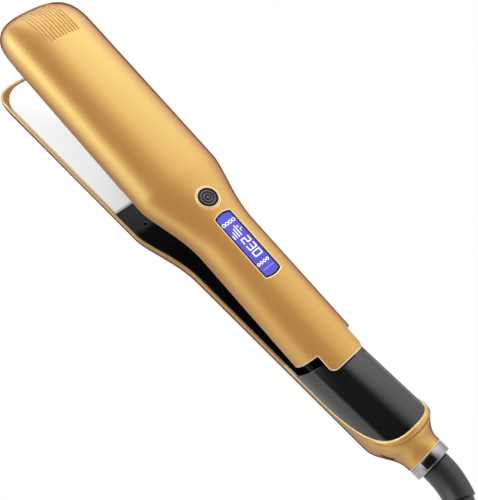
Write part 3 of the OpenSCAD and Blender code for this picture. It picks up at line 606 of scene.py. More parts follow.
# warmer gold: a dimmer painted highlight on the lower shell's rims, and painted light on its inner
# wall near the tip
material("gold_rim_warm", (0.74, 0.41, 0.17), rough=0.32, spec=0.8, ior=1.6,
         spec_tint=(0.9, 0.95, 0.5), rough_var=0.03, **THIN_LACQUER)
material("dark_steel", (0.10, 0.10, 0.11), rough=0.35, metal=1.0, tint=0.1, bump_scale=1500)
# lighter blue-grey on the button's ring tops, a painted highlight; they are also glossier than the
# grooves
material("button_ring_gloss", (0.045, 0.048, 0.075), rough=0.3, tint=0.1, rough_var=0.05,
         bump=0.08, bump_scale=2500)
material("display_mask_ink", (0.004, 0.003, 0.005), rough=0.5, spec=0.15, tint=0.2, bump=0.05,
         bump_scale=1800)
material("black_gloss", (0.004, 0.004, 0.005), rough=0.09, edge=(0.6, 0.60, 0.84), tint=0.2,
         rough_var=0.02, bump=0.03, bump_scale=300, bump_dist=0.00002)
material("black_matte", (0.012, 0.012, 0.013), rough=0.5, spec=0.4, tint=0.15, bump=0.25,
         bump_scale=2200)
material("tail_ring_steel", (0.23, 0.23, 0.26), rough=0.32, metal=1.0, tint=0.04,
         rough_var=0.06, bump=0.2, bump_scale=1200, stretch=(8, 0.6, 0.6), aniso=0.4)
# the plates glow a little, painted light that keeps them near white
material("plate_coating", (0.93, 0.935, 0.95), rough=0.25, spec=0.4, coat=0.2, coat_rough=0.15,
         glow=(1, 1, 1), glow_power=0.17, tint=0.015, rough_var=0.04, bump=0.05,
         bump_scale=3000, bump_dist=0.00002)
material("heater_ceramic", (0.80, 0.77, 0.70), rough=0.6, tint=0.05, bump=0.3, bump_scale=1500)
material("spring_steel", (0.55, 0.55, 0.57), rough=0.3, metal=1.0, bump_scale=1500)
material("red_silicone", (0.45, 0.08, 0.04), rough=0.55, tint=0.08, bump=0.3, bump_scale=1500,
         sheen=0.1)
material("pale_silicone", (0.60, 0.60, 0.57), rough=0.5, tint=0.05, bump=0.3, bump_scale=1500)
material("epoxy_bead", (0.07, 0.02, 0.01), rough=0.2, coat=0.6, tint=0.2, bump=0.2,
         bump_scale=700)
material("fuse_can", (0.66, 0.60, 0.46), rough=0.3, metal=1.0, tint=0.05)
material("blue_potting", (0.01, 0.02, 0.09), rough=0.3, coat=0.3, tint=0.2, bump=0.3,
         bump_scale=500)
material("grey_sleeve", (0.38, 0.38, 0.41), rough=0.5, bump=0.3, bump_scale=1800)
material("red_sleeve", (0.42, 0.02, 0.015), tint=0.1, bump=0.3, bump_scale=1800)
material("acetal", (0.70, 0.68, 0.60), rough=0.4, tint=0.03, bump_scale=1200)
# the bezel is pale gold; its even cream brightness with little metal is a painted highlight round
# the ring
material("pale_gold_rim", (0.92, 0.70, 0.40), rough=0.28, metal=0.25, coat=0.3, tint=0.03,
         rough_var=0.04, bump=0.08, bump_scale=1500)
material("contact_brass", (0.70, 0.46, 0.16), rough=0.28, metal=1.0, bump_scale=1400)
material("circuit_board", (0.012, 0.10, 0.03), rough=0.35, coat=0.3, tint=0.3, tint_scale=400,
         bump=0.3, bump_scale=700)
material("film_capacitor", (0.65, 0.42, 0.03), rough=0.3, coat=0.3, bump=0.2, bump_scale=700)
material("white_nylon", (0.72, 0.72, 0.68), tint=0.03, bump=0.2)
material("fuse_ceramic", (0.70, 0.70, 0.64), rough=0.4, tint=0.05, bump=0.25, bump_scale=1300)
material("cord_rubber", (0.010, 0.010, 0.011), rough=0.46, spec=0.45, tint=0.15, rough_var=0.1,
         bump=0.35, bump_scale=1700)
material("button_black", (0.009, 0.009, 0.012), rough=0.42, spec=0.2, tint=0.1, rough_var=0.05,
         bump=0.12, bump_scale=2500)
material("copper_strands", (0.68, 0.30, 0.12), rough=0.3, metal=1.0, tint=0.12,
         tint_scale=1500, bump=0.5, bump_scale=1800, stretch=(0.3, 1, 1))
material("lcd_blue", (0.02, 0.02, 0.12), rough=0.4, spec=0.1, tint=0.10, tint_scale=90,
         bump=0.05, glow=(0.118, 0.108, 0.66), glow_power=0.95)
material("backlight_blue", (0.10, 0.10, 0.60), rough=0.3, tint=0.05, bump=0.05,
         glow=(0.12, 0.12, 0.75), glow_power=0.8)
material("digit_white", (0.75, 0.75, 0.85), rough=0.4, tint=0.02, bump=0.05,
         glow=(0.85, 0.87, 1.0), glow_power=1.0)
material("digit_dim", (0.45, 0.45, 0.75), rough=0.4, tint=0.02, bump=0.05,
         glow=(0.45, 0.48, 0.95), glow_power=0.8)


def window_glass(name):
    """A clear window: mostly see-through, with a faint sheen and fine unevenness."""
    made = bpy.data.materials.new(name)
    made.use_nodes = True
    tree = made.node_tree
    tree.nodes.clear()
    output = add_node(tree, "OutputMaterial")
    clear = add_node(tree, "BsdfTransparent", {"Color": (0.93, 0.93, 0.98, 1)})
    gloss = add_node(tree, "BsdfGlossy", {"Color": (0.9, 0.92, 1, 1)})
    coords = add_node(tree, "TexCoord").outputs["Object"]
    noise = add_node(tree, "TexNoise", {"Scale": 400, "Vector": coords}).outputs["Fac"]
    relief = {"Strength": 0.05, "Distance": 0.00002, "Height": noise}
    set_inputs(gloss, {
        "Roughness": map_range(tree, noise, 0.08, 0.16),
        "Normal": add_node(tree, "Bump", relief).outputs["Normal"]})
    fresnel = add_node(tree, "Fresnel", {"IOR": 1.18}).outputs["Fac"]
    back = add_node(tree, "NewGeometry").outputs["Backfacing"]
    front = math_node(tree, "SUBTRACT", 1.0, back)  # only the outside reflects
    mixed = add_node(tree, "MixShader", {
        "Fac": math_node(tree, "MULTIPLY", fresnel, front),
        1: clear.outputs["BSDF"], 2: gloss.outputs["BSDF"]})
    set_inputs(output, {"Surface": mixed.outputs["Shader"]})
    MATERIALS[name] = made


window_glass("window_glass")

# ------------------------------------------------------------------ shells' skins and rims
UPPER = Skin(-UPPER_TIP, 0, upper_section, nosed=True)
LOWER = Skin(-LOWER_TIP, TAIL_X, lower_section, nosed=True)
HOUSE = Skin(-17, 36, housing_section)


def side_rim(skin, start_u, nose_x, count):
    """The long side edge from start_u to the tip, denser round the nose."""
    nose_u = skin.u_of(nose_x)
    straight = np.linspace(start_u, nose_u, count)[1:]
    u = np.concatenate([straight, nose_u * (np.linspace(1, 0, 160)[1:] ** 1.7)])
    points = np.stack([u, skin.v_side(u)], 1)
    points[-1] = [0, 0]
    return resample(points, 1.0)


# ------------------------------------------------------------------ upper shell
TONGUE_X = -6.9  # tail end of the flat tongue over the hinge
TONGUE_W = 10.2  # its half-width
TONGUE_R = 3  # its corner radius
TONGUE_CORNER = (-9.9, 7.2)  # centre of the corner
TONGUE_ROOT_X = -16.2
SKIRT_X = -17.0  # station whose section shapes the tail edge
# tail edge beside the tongue: z over the axis, x
SKIRT = np.array([(1.4, -19.8), (2.3, -18.8), (3.4, -18.3), (8, -17.4), (24, -15.6)])

GROOVE_CENTRES = (np.arange(11) - 5) * 1.7
GROOVE_DEPTH = 0.36
# mesh rows across one groove, from its centre
GROOVE_ROWS = np.array([-0.62, -0.46, -0.34, -0.22, -0.1, 0.1, 0.22, 0.34, 0.46, 0.62])


def display_ends(gap):
    """Half-length, end radius and half-angle of the display outline, drawn in by gap."""
    half_w = DISPLAY_W / 2 - gap
    radius = (half_w**2 + DISPLAY_BULGE**2) / (2 * DISPLAY_BULGE)
    return DISPLAY_L / 2 + DISPLAY_BULGE - gap, radius, math.asin(half_w / radius)


def button_hole():
    angle = np.linspace(math.pi, 0, 26)
    return UPPER.from_plan(-BUTTON_X + BEZEL_R * np.cos(angle), BEZEL_R * np.sin(angle))


def display_hole():
    half, radius, span = display_ends(0)
    angle = np.linspace(0, span, 9)
    x = np.cos(angle) * radius
    y = radius * np.sin(angle)
    tip_x = -DISPLAY_X - (half - radius) - x
    tail_x = (-DISPLAY_X + (half - radius) + x)[::-1]
    side_x = np.linspace(tip_x[-1], tail_x[0], 34)[1:-1]
    return UPPER.from_plan(np.concatenate([tip_x, side_x, tail_x]),
                           np.concatenate([y, np.full(32, DISPLAY_W / 2), y[::-1]]))


def upper_rim():
    corner_x, corner_y = TONGUE_CORNER
    corner = np.linspace(0, math.pi / 2, 8)[1:]
    tongue_x = np.concatenate([
        np.full(9, TONGUE_X), corner_x + TONGUE_R * np.cos(corner),
        np.linspace(corner_x, TONGUE_ROOT_X, 8)[1:]])
    tongue_y = np.concatenate([
        np.linspace(0, corner_y, 9), corner_y + TONGUE_R * np.sin(corner),
        np.full(7, TONGUE_W)])
    tongue = UPPER.from_plan(tongue_x, tongue_y)
    width = float(half_width(SKIRT_X))
    height = float(upper_top(SKIRT_X) - UPPER_RIM)
    angle = np.linspace(math.acos((TONGUE_W / width) ** (SQUARE / 2)), 0, 30)
    z = UPPER_RIM + height * np.sin(angle) ** (2 / SQUARE)
    u = UPPER.u_of(np.interp(z, SKIRT[:, 0], SKIRT[:, 1]))
    skirt = np.stack([u, share_of(angle) * UPPER.v_side(u)], 1)
    side = side_rim(UPPER, skirt[-1, 0], -(UPPER_TIP - UPPER_NOSE), 150)
    return np.concatenate([tongue[:-1], resample(skirt, 0.8), side[1:]])


def grooves(points):
    """Eleven grooves along x, side by side over the nose."""
    x, y, z = points.T
    away = np.abs(y[:, None] - GROOVE_CENTRES[None, :]).min(1)
    depth = GROOVE_DEPTH * (1 - rise(away, 0.12, 0.34))
    front = rise(z, UPPER_RIM + 0.3, 1.2)
    end = 1 - rise(x, -205.1, 0.9)
    return depth * front * end * (np.abs(y) < 9.2)


def groove_area(points):
    return (points[:, 0] < -203) & (np.abs(points[:, 1]) < 10.2)


def upper_lattice():
    rows = (GROOVE_CENTRES[5:, None] + GROOVE_ROWS).ravel()
    rows = rows[rows > 0.02]
    ends = UPPER.u_of(np.array([-205.9, -205.5, -205.1, -204.8, -204.5, -204.2, -203.8]))
    grooved = []
    for u in np.concatenate([np.arange(0.9, UPPER.u_of(-206.2), 0.3), ends]):
        x = float(UPPER.x_of(u))
        y = rows[rows < float(upper_section(np.array([x]))[0][0]) * 0.97]
        grooved.append(UPPER.from_plan(np.full(len(y), x), y))
    beside = lattice_of(0.8, UPPER.u_of(-207), 1.0, 1.0, 36)
    beside = beside[np.abs(UPPER.at(*beside.T)[:, 1]) > 10.4]
    body = lattice_of(1.0, UPPER.u_of(-6.0), 1.9, 1.5, 36)
    x = UPPER.x_of(body[:, 0])
    body = body[(x > -206) & ~((x < -203.2) & (body[:, 1] < 10.6))]
    return np.concatenate(grooved + [beside, body])


UPPER_MATERIALS = ("gold_lacquer", "gold_rim_lacquer", "gold_groove_lacquer", "black_matte",
                   "gold_groove_shade")


def upper_slots(side, points):
    """Groove floors get a browner gold as painted shade, with darker painted shade close to the
    tip; inner faces are black and rims take the cream painted highlight.
    """
    if side == "outer":
        groove_shade_slot = np.where(points[:, 0] < -227.6, 4, 2)
        return np.where(grooves(points) > 0.17, groove_shade_slot, 0)
    return np.full(len(points), 3 if side == "inner" else 1)


upper = shell(
    "upper_shell_skin", UPPER,
    [(crest_seam(1.6), button_hole()), (crest_seam(1.6), display_hole()),
     (crest_seam(1.2), upper_rim())],
    upper_lattice(), thick=WALL, radius=0.55, gap=0.2475, place=in_upper, turn=turn_upper,
    groove=grooves, materials=[MATERIALS[m] for m in UPPER_MATERIALS], meshed=groove_area,
    slots=upper_slots)
mount(upper, "upper_arm", "upper_shell")

# ------------------------------------------------------------------ lower shell
LOWER_END_U = float(LOWER.us[-1])
COLLAR_X = np.linspace(LIP_END_X, 18.0, 200)
COLLAR_Z = lip_z(COLLAR_X)


def tail_end_rim():
    v = np.linspace(0, float(LOWER.v_far(LOWER_END_U)), 40)
    return np.stack([np.full(40, LOWER_END_U), v], 1)


def lower_rim():
    length = LIP_END_X - LIP_START_X
    x = LIP_END_X - length * np.linspace(0, 1, 400) ** 1.6
    _, _, top, centre, power = lower_section(x)
    sine = clamp((lip_z(x) - centre) / top) ** (power / 2)
    u = LOWER.u_of(x)
    side, far = LOWER.v_side(u), LOWER.v_far(u)
    lip = np.stack([u, side + (far - side) * (1 - share_of(np.arcsin(sine)))], 1)
    lip[0, 1] = float(LOWER.v_far(lip[0, 0]))
    lip = resample(lip, 0.8)
    run = side_rim(LOWER, lip[-1, 0], -(LOWER_TIP - LOWER_NOSE), 190)
    return np.concatenate([lip, run[1:]])


def collar(points):
    """A raised band behind the housing's lip with a crease after it (negative is outward)."""
    x, y, z = points.T
    past = x - np.interp(z, COLLAR_Z[::-1], COLLAR_X[::-1])
    upper_part = rise(z, 1.0, 6.0) * rise(x, 25.5, 5.0)
    flank = np.exp(-(((x - 34.0) / 2.8) ** 2)) * rise(np.abs(y), 4.0, 5.0) * rise(z, -2.0, 4.0)
    band = smooth(past / 0.7 + 0.4) * (1 - rise(past, 2.1, 1.6))
    crease = np.clip(1 - ((past - 4.4) / 1.5) ** 2, 0, 1) ** 2
    relief = upper_part * (0.25 * crease - 1.05 * band) - 0.75 * flank * smooth(past / 1.0)
    return relief * (past > -1.0)


LOWER_MATERIALS = ("gold_lacquer", "gold_rim_warm", "gold_rim_lacquer", "black_matte")


def lower_slots(side, points):
    # inner faces are black, but near the tip a warm gold paints light onto the inner wall; rims
    # take the cream painted highlight at the collar and the warm painted highlight toward the tip
    x = points[:, 0]
    if side == "outer":
        return np.zeros(len(points), int)
    return np.where(x > -150, 3, 1) if side == "inner" else np.where(x > -25, 2, 1)


# u from, u to, u step, v step, greatest v
LOWER_LATTICES = (
    (0.8, LOWER.u_of(-217), 1.0, 1.0, 40),
    (LOWER.u_of(-216), LOWER.u_of(-10), 2.0, 1.5, 40),
    (LOWER.u_of(-9), LOWER.u_of(17), 0.95, 0.9, 60),
    (LOWER.u_of(17.4), LOWER_END_U, 0.6, 0.6, 60),
)
lower = shell(
    "lower_shell_skin", LOWER,
    [(crest_seam(1.6), tail_end_rim()), (Seam(LOWER.v_far, -1, 0.9), lower_rim())],
    np.concatenate([lattice_of(*row) for row in LOWER_LATTICES]), thick=WALL, radius=0.5,
    gap=0.2475, place=in_lower, turn=unturned, groove=collar,
    materials=[MATERIALS[m] for m in LOWER_MATERIALS], flat_z=-AXIS_Z, flip=True,
    meshed=lambda points: points[:, 0] >= 16.5, slots=lower_slots)
mount(lower, "lower_arm", "lower_shell")

# ------------------------------------------------------------------ hinge housing
LIP_GAP = 0.45  # how far the housing runs on past the lower shell's lip
# stations and rows that follow the edges of the sunk top
STEP_STATIONS = (-3.1, -2.95, -2.8, -2.65, -2.5)
STEP_ROWS = (10.55, 10.7, 10.85, 11.0, 11.15)


def house_rim():
    x = np.linspace(LIP_END_X + LIP_GAP, -1.4, 220)
    z = np.minimum(lip_z(x - LIP_GAP), HOUSE_TOP)
    x, z = x[z > -1.75], z[z > -1.75]
    height = HOUSE_TOP + HOUSE_BASE
    u = HOUSE.u_of(x)
    sine = clamp((z + HOUSE_BASE) / height) ** (SQUARE / 2)
    lip = np.stack([u, share_of(np.arcsin(sine)) * HOUSE.v_side(u)], 1)
    lip = lip[max(np.where(lip[:, 1] > 0.05)[0][0] - 1, 0):]
    lip[0, 1] = 0
    side = float(HOUSE.v_side(5.0))
    bottom_u = np.linspace(lip[-1, 0], float(HOUSE.u_of(-16.75)), 16)[1:]
    bottom = np.stack([bottom_u, np.full(15, side)], 1)
    angle = np.linspace(0, math.pi / 2, 40)
    z = -HOUSE_BASE + height * np.sin(angle) ** (2 / SQUARE)
    x = -16.8 + 0.425 * (z + 1.85)  # the edge toward the tip leans back
    front = np.stack([HOUSE.u_of(x), share_of(angle) * side], 1)
    rim = np.concatenate([resample(lip, 0.8), bottom, resample(front, 0.8)[1:]])
    rim[-1, 1] = 0
    return rim


def house_step(points):
    """The sunk top toward the tip."""
    along = 1 - rise(points[:, 0], -2.95, 0.3)
    across = 1 - rise(np.abs(points[:, 1]), 10.7, 0.3)
    return 0.45 * along * across


def house_lattice():
    parts = [lattice_of(HOUSE.u_of(-16), HOUSE.u_of(33), 0.9, 0.8, 40)]
    for x in STEP_STATIONS:
        parts.append(HOUSE.from_plan(np.full(22, x), np.linspace(0.3, 10.9, 22)))
    xs = np.arange(-11, -2.2, 0.7)
    for y in STEP_ROWS:
        parts.append(HOUSE.from_plan(xs, np.full(len(xs), y)))
    return np.concatenate(parts)


house = shell(
    "hinge_housing_skin", HOUSE, [(crest_seam(0.9), house_rim())], house_lattice(), thick=1.7,
    radius=0.35, gap=0.165, place=in_lower, turn=unturned, groove=house_step,
    materials=[MATERIALS["black_gloss"]])
mount(house, "lower_arm", "hinge_housing")

# ------------------------------------------------------------------ button


def rounded(points, radius, segments=4):
    """Rounds the corners of an open (r, z) profile."""
    points = [np.array(p, float) for p in points]
    result = [points[0]]
    for a, b, c in zip(points[:-2], points[1:-1], points[2:]):
        to_a, to_c = a - b, c - b
        length_a, length_c = np.linalg.norm(to_a), np.linalg.norm(to_c)
        cut = min(radius, length_a * 0.48, length_c * 0.48)
        start, end = b + to_a / length_a * cut, b + to_c / length_c * cut
        for i in range(segments + 1):
            s = i / segments
            result.append((1 - s) ** 2 * start + 2 * s * (1 - s) * b + s * s * end)
    result.append(points[-1])
    return result


def lathe(name, profile, place, *materials, second=None):
    """(r, z) points turned about z; second(point) tells where the second material goes."""
    count = 96
    profile = np.array(profile, float)
    angle = np.linspace(0, 2 * math.pi, count, endpoint=False)
    verts = np.concatenate([
        np.stack([r * np.cos(angle), r * np.sin(angle), np.full(count, z)], 1)
        for r, z in profile])
    piece = make_mesh(name, place(verts), tube_faces(len(profile), count), *materials)
    if second:
        middles = (profile[:-1] + profile[1:]) / 2
        piece.data.polygons.foreach_set(
            "material_index", [int(second(p)) for p in middles for _ in range(count)])
    tidy(piece, 35)
    return piece


def on_button(points):
    placed = np.array(points, float)
    placed[:, 0] -= BUTTON_X
    return in_upper(placed)


# profiles: radius, z from the button's top; the feet are at their own z
BEZEL_IN_R, BEZEL_FOOT = 4.79, 14.3
BEZEL = ((BEZEL_IN_R, -0.04), (4.93, 0.12), (5.16, 0.1), (BEZEL_R, -0.12), (BEZEL_R, -0.5),
         (5.37, -0.6))
CAP = ((0, -0.12), (0.8, -0.12), (0.95, -0.5), (1.4, -0.5), (1.55, -0.12), (2.2, -0.12),
       (2.35, -0.5), (2.85, -0.5), (3.0, -0.12), (3.65, -0.12), (3.8, -0.5), (4.3, -0.5),
       (4.42, -0.2), (4.71, -0.24))
CAP_FOOT = ((4.71, 15.2), (1.6, 15.2), (1.6, 14.72), (0, 14.72))


def from_top(profile):
    return [(r, BUTTON_TOP + z) for r, z in profile]


bezel_profile = [(BEZEL_IN_R, BEZEL_FOOT), *from_top(BEZEL), (5.37, BEZEL_FOOT),
                 (BEZEL_IN_R, BEZEL_FOOT)]
bezel = lathe("button_bezel_ring", rounded(bezel_profile, 0.18), on_button,
              MATERIALS["pale_gold_rim"])
mount(bezel, "upper_arm", "button_bezel")
# the cap's ring tops take the lighter painted highlight
cap = lathe("power_button_cap", rounded([*from_top(CAP), *CAP_FOOT], 0.1, 3), on_button,
            MATERIALS["button_black"], MATERIALS["button_ring_gloss"],
            second=lambda p: p[1] > BUTTON_TOP - 0.2 and p[0] < 3.8)
mount(cap, "button", "power_button")

# ------------------------------------------------------------------ cord and boot
CORD_X = TAIL_X + 4.6 + 0.4  # the tail ring's length and a gap past the shell
CORD_ROLL = math.radians(184)
BOOT_STRAIGHT = 1.5
BENDS = ((34, math.radians(34)), (140, math.radians(10)))  # radius, angle
BOOT_L = sum((radius * bend for radius, bend in BENDS), BOOT_STRAIGHT)
RIBS_START = BOOT_STRAIGHT + BENDS[0][0] * BENDS[0][1]
CORD_R, CORD_RUN = 3.28, 45


def in_cord(points):
    x, y, z = np.array(points, float).T
    c, s = math.cos(CORD_ROLL), math.sin(CORD_ROLL)
    return np.stack([x, y * c - z * s, y * s + z * c + AXIS_Z], 1) * MM


def cord_path(s):
    """Centre line x, y and direction at distance s past the tail ring's end."""
    x = CORD_X + np.minimum(s, BOOT_STRAIGHT)
    y, angle = np.zeros_like(s), np.zeros_like(s)
    start = BOOT_STRAIGHT
    for radius, bend in BENDS:
        turned = angle + np.clip((s - start) / radius, 0, bend)
        x = x + radius * (np.sin(turned) - np.sin(angle))
        y = y + radius * (np.cos(angle) - np.cos(turned))
        angle = turned
        start += radius * bend
    rest = np.maximum(s - start, 0)
    return x + rest * np.cos(angle), y + rest * np.sin(angle), angle


def sweep(name, stations, radii, count):
    ring = np.linspace(0, 2 * math.pi, count, endpoint=False)
    verts = []
    for x, y, angle, radius in zip(*cord_path(stations), radii):
        across = np.array([-math.sin(angle), math.cos(angle), 0])
        up = np.array([0, 0, 1.0])
        circle = np.cos(ring)[:, None] * across + np.sin(ring)[:, None] * up
        verts.append(np.array([x, y, 0]) + radius * circle)
    faces = tube_faces(len(stations), count)
    faces.append(tuple(range(count - 1, -1, -1)))
    faces.append(tuple((len(stations) - 1) * count + j for j in range(count)))
    piece = make_mesh(name, in_cord(np.concatenate(verts)), faces, MATERIALS["cord_rubber"])
    tidy(piece, 50)
    return piece


def boot_radius(s):
    """A sleeve with one groove round it, then five shrinking ribs on a thinner neck."""
    degrees = np.degrees((s - BOOT_STRAIGHT) / BENDS[0][0])
    sleeve = 7.05 - 0.25 * rise(s, 3, 12)
    sleeve = sleeve - 1.05 * rise(degrees, 25.6, 1.0) * (1 - rise(degrees, 29.2, 1.0))
    sleeve = sleeve - 0.35 * rise(degrees, 29, 1.5)
    past = s - RIBS_START
    neck_r = 5.2
    ribs = np.zeros_like(s)
    for i in range(5):
        start, end = (BENDS[1][0] * math.radians(2 * i + k) for k in (0.8, 2))
        height = 6.1 - 0.4 * i + 0.2 * max(i - 2, 0) - neck_r
        rib = height * rise(past, start - 0.25, 0.5) * (1 - rise(past, end - 0.1, 0.5))
        ribs = np.maximum(ribs, rib)
    share = rise(past, -0.2, 0.6)
    return sleeve * (1 - share) + (neck_r + ribs) * share


boot_s = np.concatenate([
    [0, 0.08, 0.25, 0.5], np.arange(0.8, BOOT_L - 0.3, 0.22),
    BOOT_L - np.array([0.25, 0.1, 0.02, 0])])
boot_r = boot_radius(boot_s)
boot_r[:3] -= [0.5, 0.28, 0.1]
boot_r[-3:] -= [0.1, 0.3, 0.6]
boot = sweep("cord_boot_moulding", boot_s, boot_r, 96)
mount(boot, "cord", "cord_boot")

cord_end = BOOT_L + CORD_RUN
cord_s = np.concatenate([np.arange(-13, cord_end - 0.6, 1.0),
                         cord_end - np.array([0.4, 0.15, 0])])
cord_r = np.full(len(cord_s), CORD_R)
cord_r[-2:] -= [0.08, 0.25]
mount(sweep("mains_cord", cord_s, cord_r, 64), "cord", "power_cord")

# ------------------------------------------------------------------ display figures
DISPLAY_TIP_X = -DISPLAY_X - DISPLAY_L / 2
# seven-segment strokes between cell corners, as (x, y) in half-cells
SEGMENTS = {
    "a": ((-1, 1), (1, 1)), "b": ((1, 1), (1, 0)), "c": ((1, 0), (1, -1)),
    "d": ((-1, -1), (1, -1)), "e": ((-1, 0), (-1, -1)), "f": ((-1, 1), (-1, 0)),
    "g": ((-1, 0), (1, 0)),
}
DIGITS = (("abged", 15.2), ("abgcd", 18.95), ("abcdef", 22.7))  # 230: segments, x from the tip end
LEVEL_BARS = (2.3, 3.5, 4.7, 5.9)  # lengths


def add_strokes(name, strokes, look):
    """Flat bars in the upper arm's frame, each (start, end, width), with cut corners."""
    verts, faces = [], []
    for start, end, width in strokes:
        a, b = np.array(start, float), np.array(end, float)
        along = (b - a) / np.linalg.norm(b - a)
        side = np.array([-along[1], along[0]])
        cut = width * 0.28
        edge, inner = side * width / 2, side * (width / 2 - cut)
        ring = [a + inner, a + along * cut + edge, b - along * cut + edge, b + inner,
                b - inner, b - along * cut - edge, a + along * cut - edge, a - inner]
        base, count = len(verts), len(ring)
        verts += [(*p, z) for z in (15.95, 16.05) for p in ring]
        faces.append(tuple(base + i for i in range(count - 1, -1, -1)))
        faces.append(tuple(base + count + i for i in range(count)))
        for i in range(count):
            j = (i + 1) % count
            faces.append((base + i, base + j, base + count + j, base + count + i))
    piece = make_mesh(name, in_upper(np.array(verts)), faces, MATERIALS[look], soft=False)
    tidy(piece, 20)
    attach(piece, "upper_arm")


def upright(x, y0, y1, width):
    return ((DISPLAY_TIP_X + x, y0), (DISPLAY_TIP_X + x, y1), width)


def ring_strokes(x, y, radius, width, count):
    corners = []
    for i in range(count + 1):
        angle = math.radians(360 * i / count)
        corners.append((DISPLAY_TIP_X + x + radius * math.cos(angle),
                        y + radius * math.sin(angle)))
    return [(a, b, width) for a, b in zip(corners[:-1], corners[1:])]


def digit_strokes():
    strokes = []
    for letters, centre in DIGITS:
        for letter in letters:
            a, b = (np.array([DISPLAY_TIP_X + centre + x * 1.22, y * 2.0 + 0.7])
                    for x, y in SEGMENTS[letter])
            along = (b - a) / np.linalg.norm(b - a)
            strokes.append((a + along * -0.15, b + along * 0.15, 0.52))
    return strokes


def bar_strokes():
    end = DISPLAY_TIP_X + 12.5
    rows = zip(np.linspace(-3.2, 0.75, 4), LEVEL_BARS)
    return [((end - length, y), (end, y), 0.46) for y, length in rows]


def degree_strokes():
    foot = ((DISPLAY_TIP_X + 9.4, 2.2), (DISPLAY_TIP_X + 10.7, 2.2), 0.34)
    return ring_strokes(8.0, 2.0, 0.42, 0.26, 10) + [upright(9.4, 2.2, 3.5, 0.34), foot]


def sign_strokes():
    """Linked rings near the tip end and diamonds near the tail end."""
    strokes = []
    for y in (-3.05, -1.1, 0.85, 2.8):
        strokes += ring_strokes(4.3, y, 0.78, 0.36, 12)
    for y in (-2.07, -0.12, 1.83):
        strokes.append(upright(4.3, y - 0.25, y + 0.25, 0.36))
    for i in range(4):
        strokes += ring_strokes(27.6, -2.95 + 1.8 * i, 0.76, 0.34, 4)
    return strokes


def small_marks():
    starts = [-3.0 + 0.72 * i for i in range(9)]
    return [upright(30.8, y, y + 0.42, 0.34) for y in starts]


add_strokes("display_figures", digit_strokes(), "digit_white")
add_strokes("display_level_bars", bar_strokes(), "digit_white")
add_strokes("display_degree_sign", degree_strokes(), "digit_white")
add_strokes("display_signs", sign_strokes(), "digit_white")
add_strokes("display_small_marks", small_marks(), "digit_dim")

# ------------------------------------------------------------------ display panel and window
WINDOW_GAP, FRAME_GAP, PANEL_GAP = 0.06, 0.07, 0.72  # insets from the shell's opening


def display_outline(gap):
    half, radius, span = display_ends(gap)
    angles = np.linspace(-span, span, 21)
    tail = [(-DISPLAY_X + half - radius + radius * math.cos(a), radius * math.sin(a))
            for a in angles]
    tip = [(-DISPLAY_X - half + radius - radius * math.cos(a), -radius * math.sin(a))
           for a in angles]
    return tail + tip


def from_bmesh(name, bm, look):
    """A piece in the upper arm's frame from a bmesh in mm."""
    mesh = bpy.data.meshes.new(name)
    bm.to_mesh(mesh)
    bm.free()
    placed = in_upper(np.array([v.co for v in mesh.vertices]))
    mesh.vertices.foreach_set("co", placed.astype(np.float32).ravel())
    mesh.update()
    return add_object(name, mesh, MATERIALS[look])


def display_slab(name, gap, z0, z1, look, bevel=0.0):
    bm = bmesh.new()
    face = bm.faces.new([bm.verts.new((*p, z0)) for p in display_outline(gap)])
    raised = bmesh.ops.extrude_face_region(bm, geom=[face])["geom"]
    for item in raised:
        if isinstance(item, bmesh.types.BMVert):
            item.co.z = z1
    bmesh.ops.recalc_face_normals(bm, faces=bm.faces)
    if bevel:
        edges = [e for e in bm.edges if all(abs(v.co.z - z1) < 1e-6 for v in e.verts)]
        bmesh.ops.bevel(bm, geom=edges, offset=bevel, segments=3, affect="EDGES", profile=0.6)
    piece = from_bmesh(name, bm, look)
    mesh = piece.data
    mesh.polygons.foreach_set("use_smooth", [True] * len(mesh.polygons))
    mesh.update()
    mesh.set_sharp_from_angle(angle=math.radians(30))
    return piece


def display_frame(bottom=14.4, top=16.09):
    """The dark frame under the window's edge."""
    bm = bmesh.new()
    outer, inner = display_outline(FRAME_GAP), display_outline(PANEL_GAP)
    levels = ((outer, bottom), (outer, top), (inner, top), (inner, bottom))
    rings = [[bm.verts.new((*p, z)) for p in outline] for outline, z in levels]
    for a, b in zip(rings, rings[1:] + rings[:1]):
        for i in range(len(a)):
            j = (i + 1) % len(a)
            bm.faces.new((a[i], a[j], b[j], b[i]))
    bmesh.ops.recalc_face_normals(bm, faces=bm.faces)
    return from_bmesh("display_frame", bm, "display_mask_ink")


panel = display_slab("display_panel", PANEL_GAP, 15.0, 15.93, "lcd_blue")
mount(panel, "upper_arm", "lcd_glass")
window = display_slab("display_window", WINDOW_GAP, 16.12, 16.52, "window_glass", bevel=0.16)
mount(window, "upper_arm", "display_lens")
mount(display_frame(), "upper_arm", "display_gasket")

# ------------------------------------------------------------------ CAD pieces shown as they are

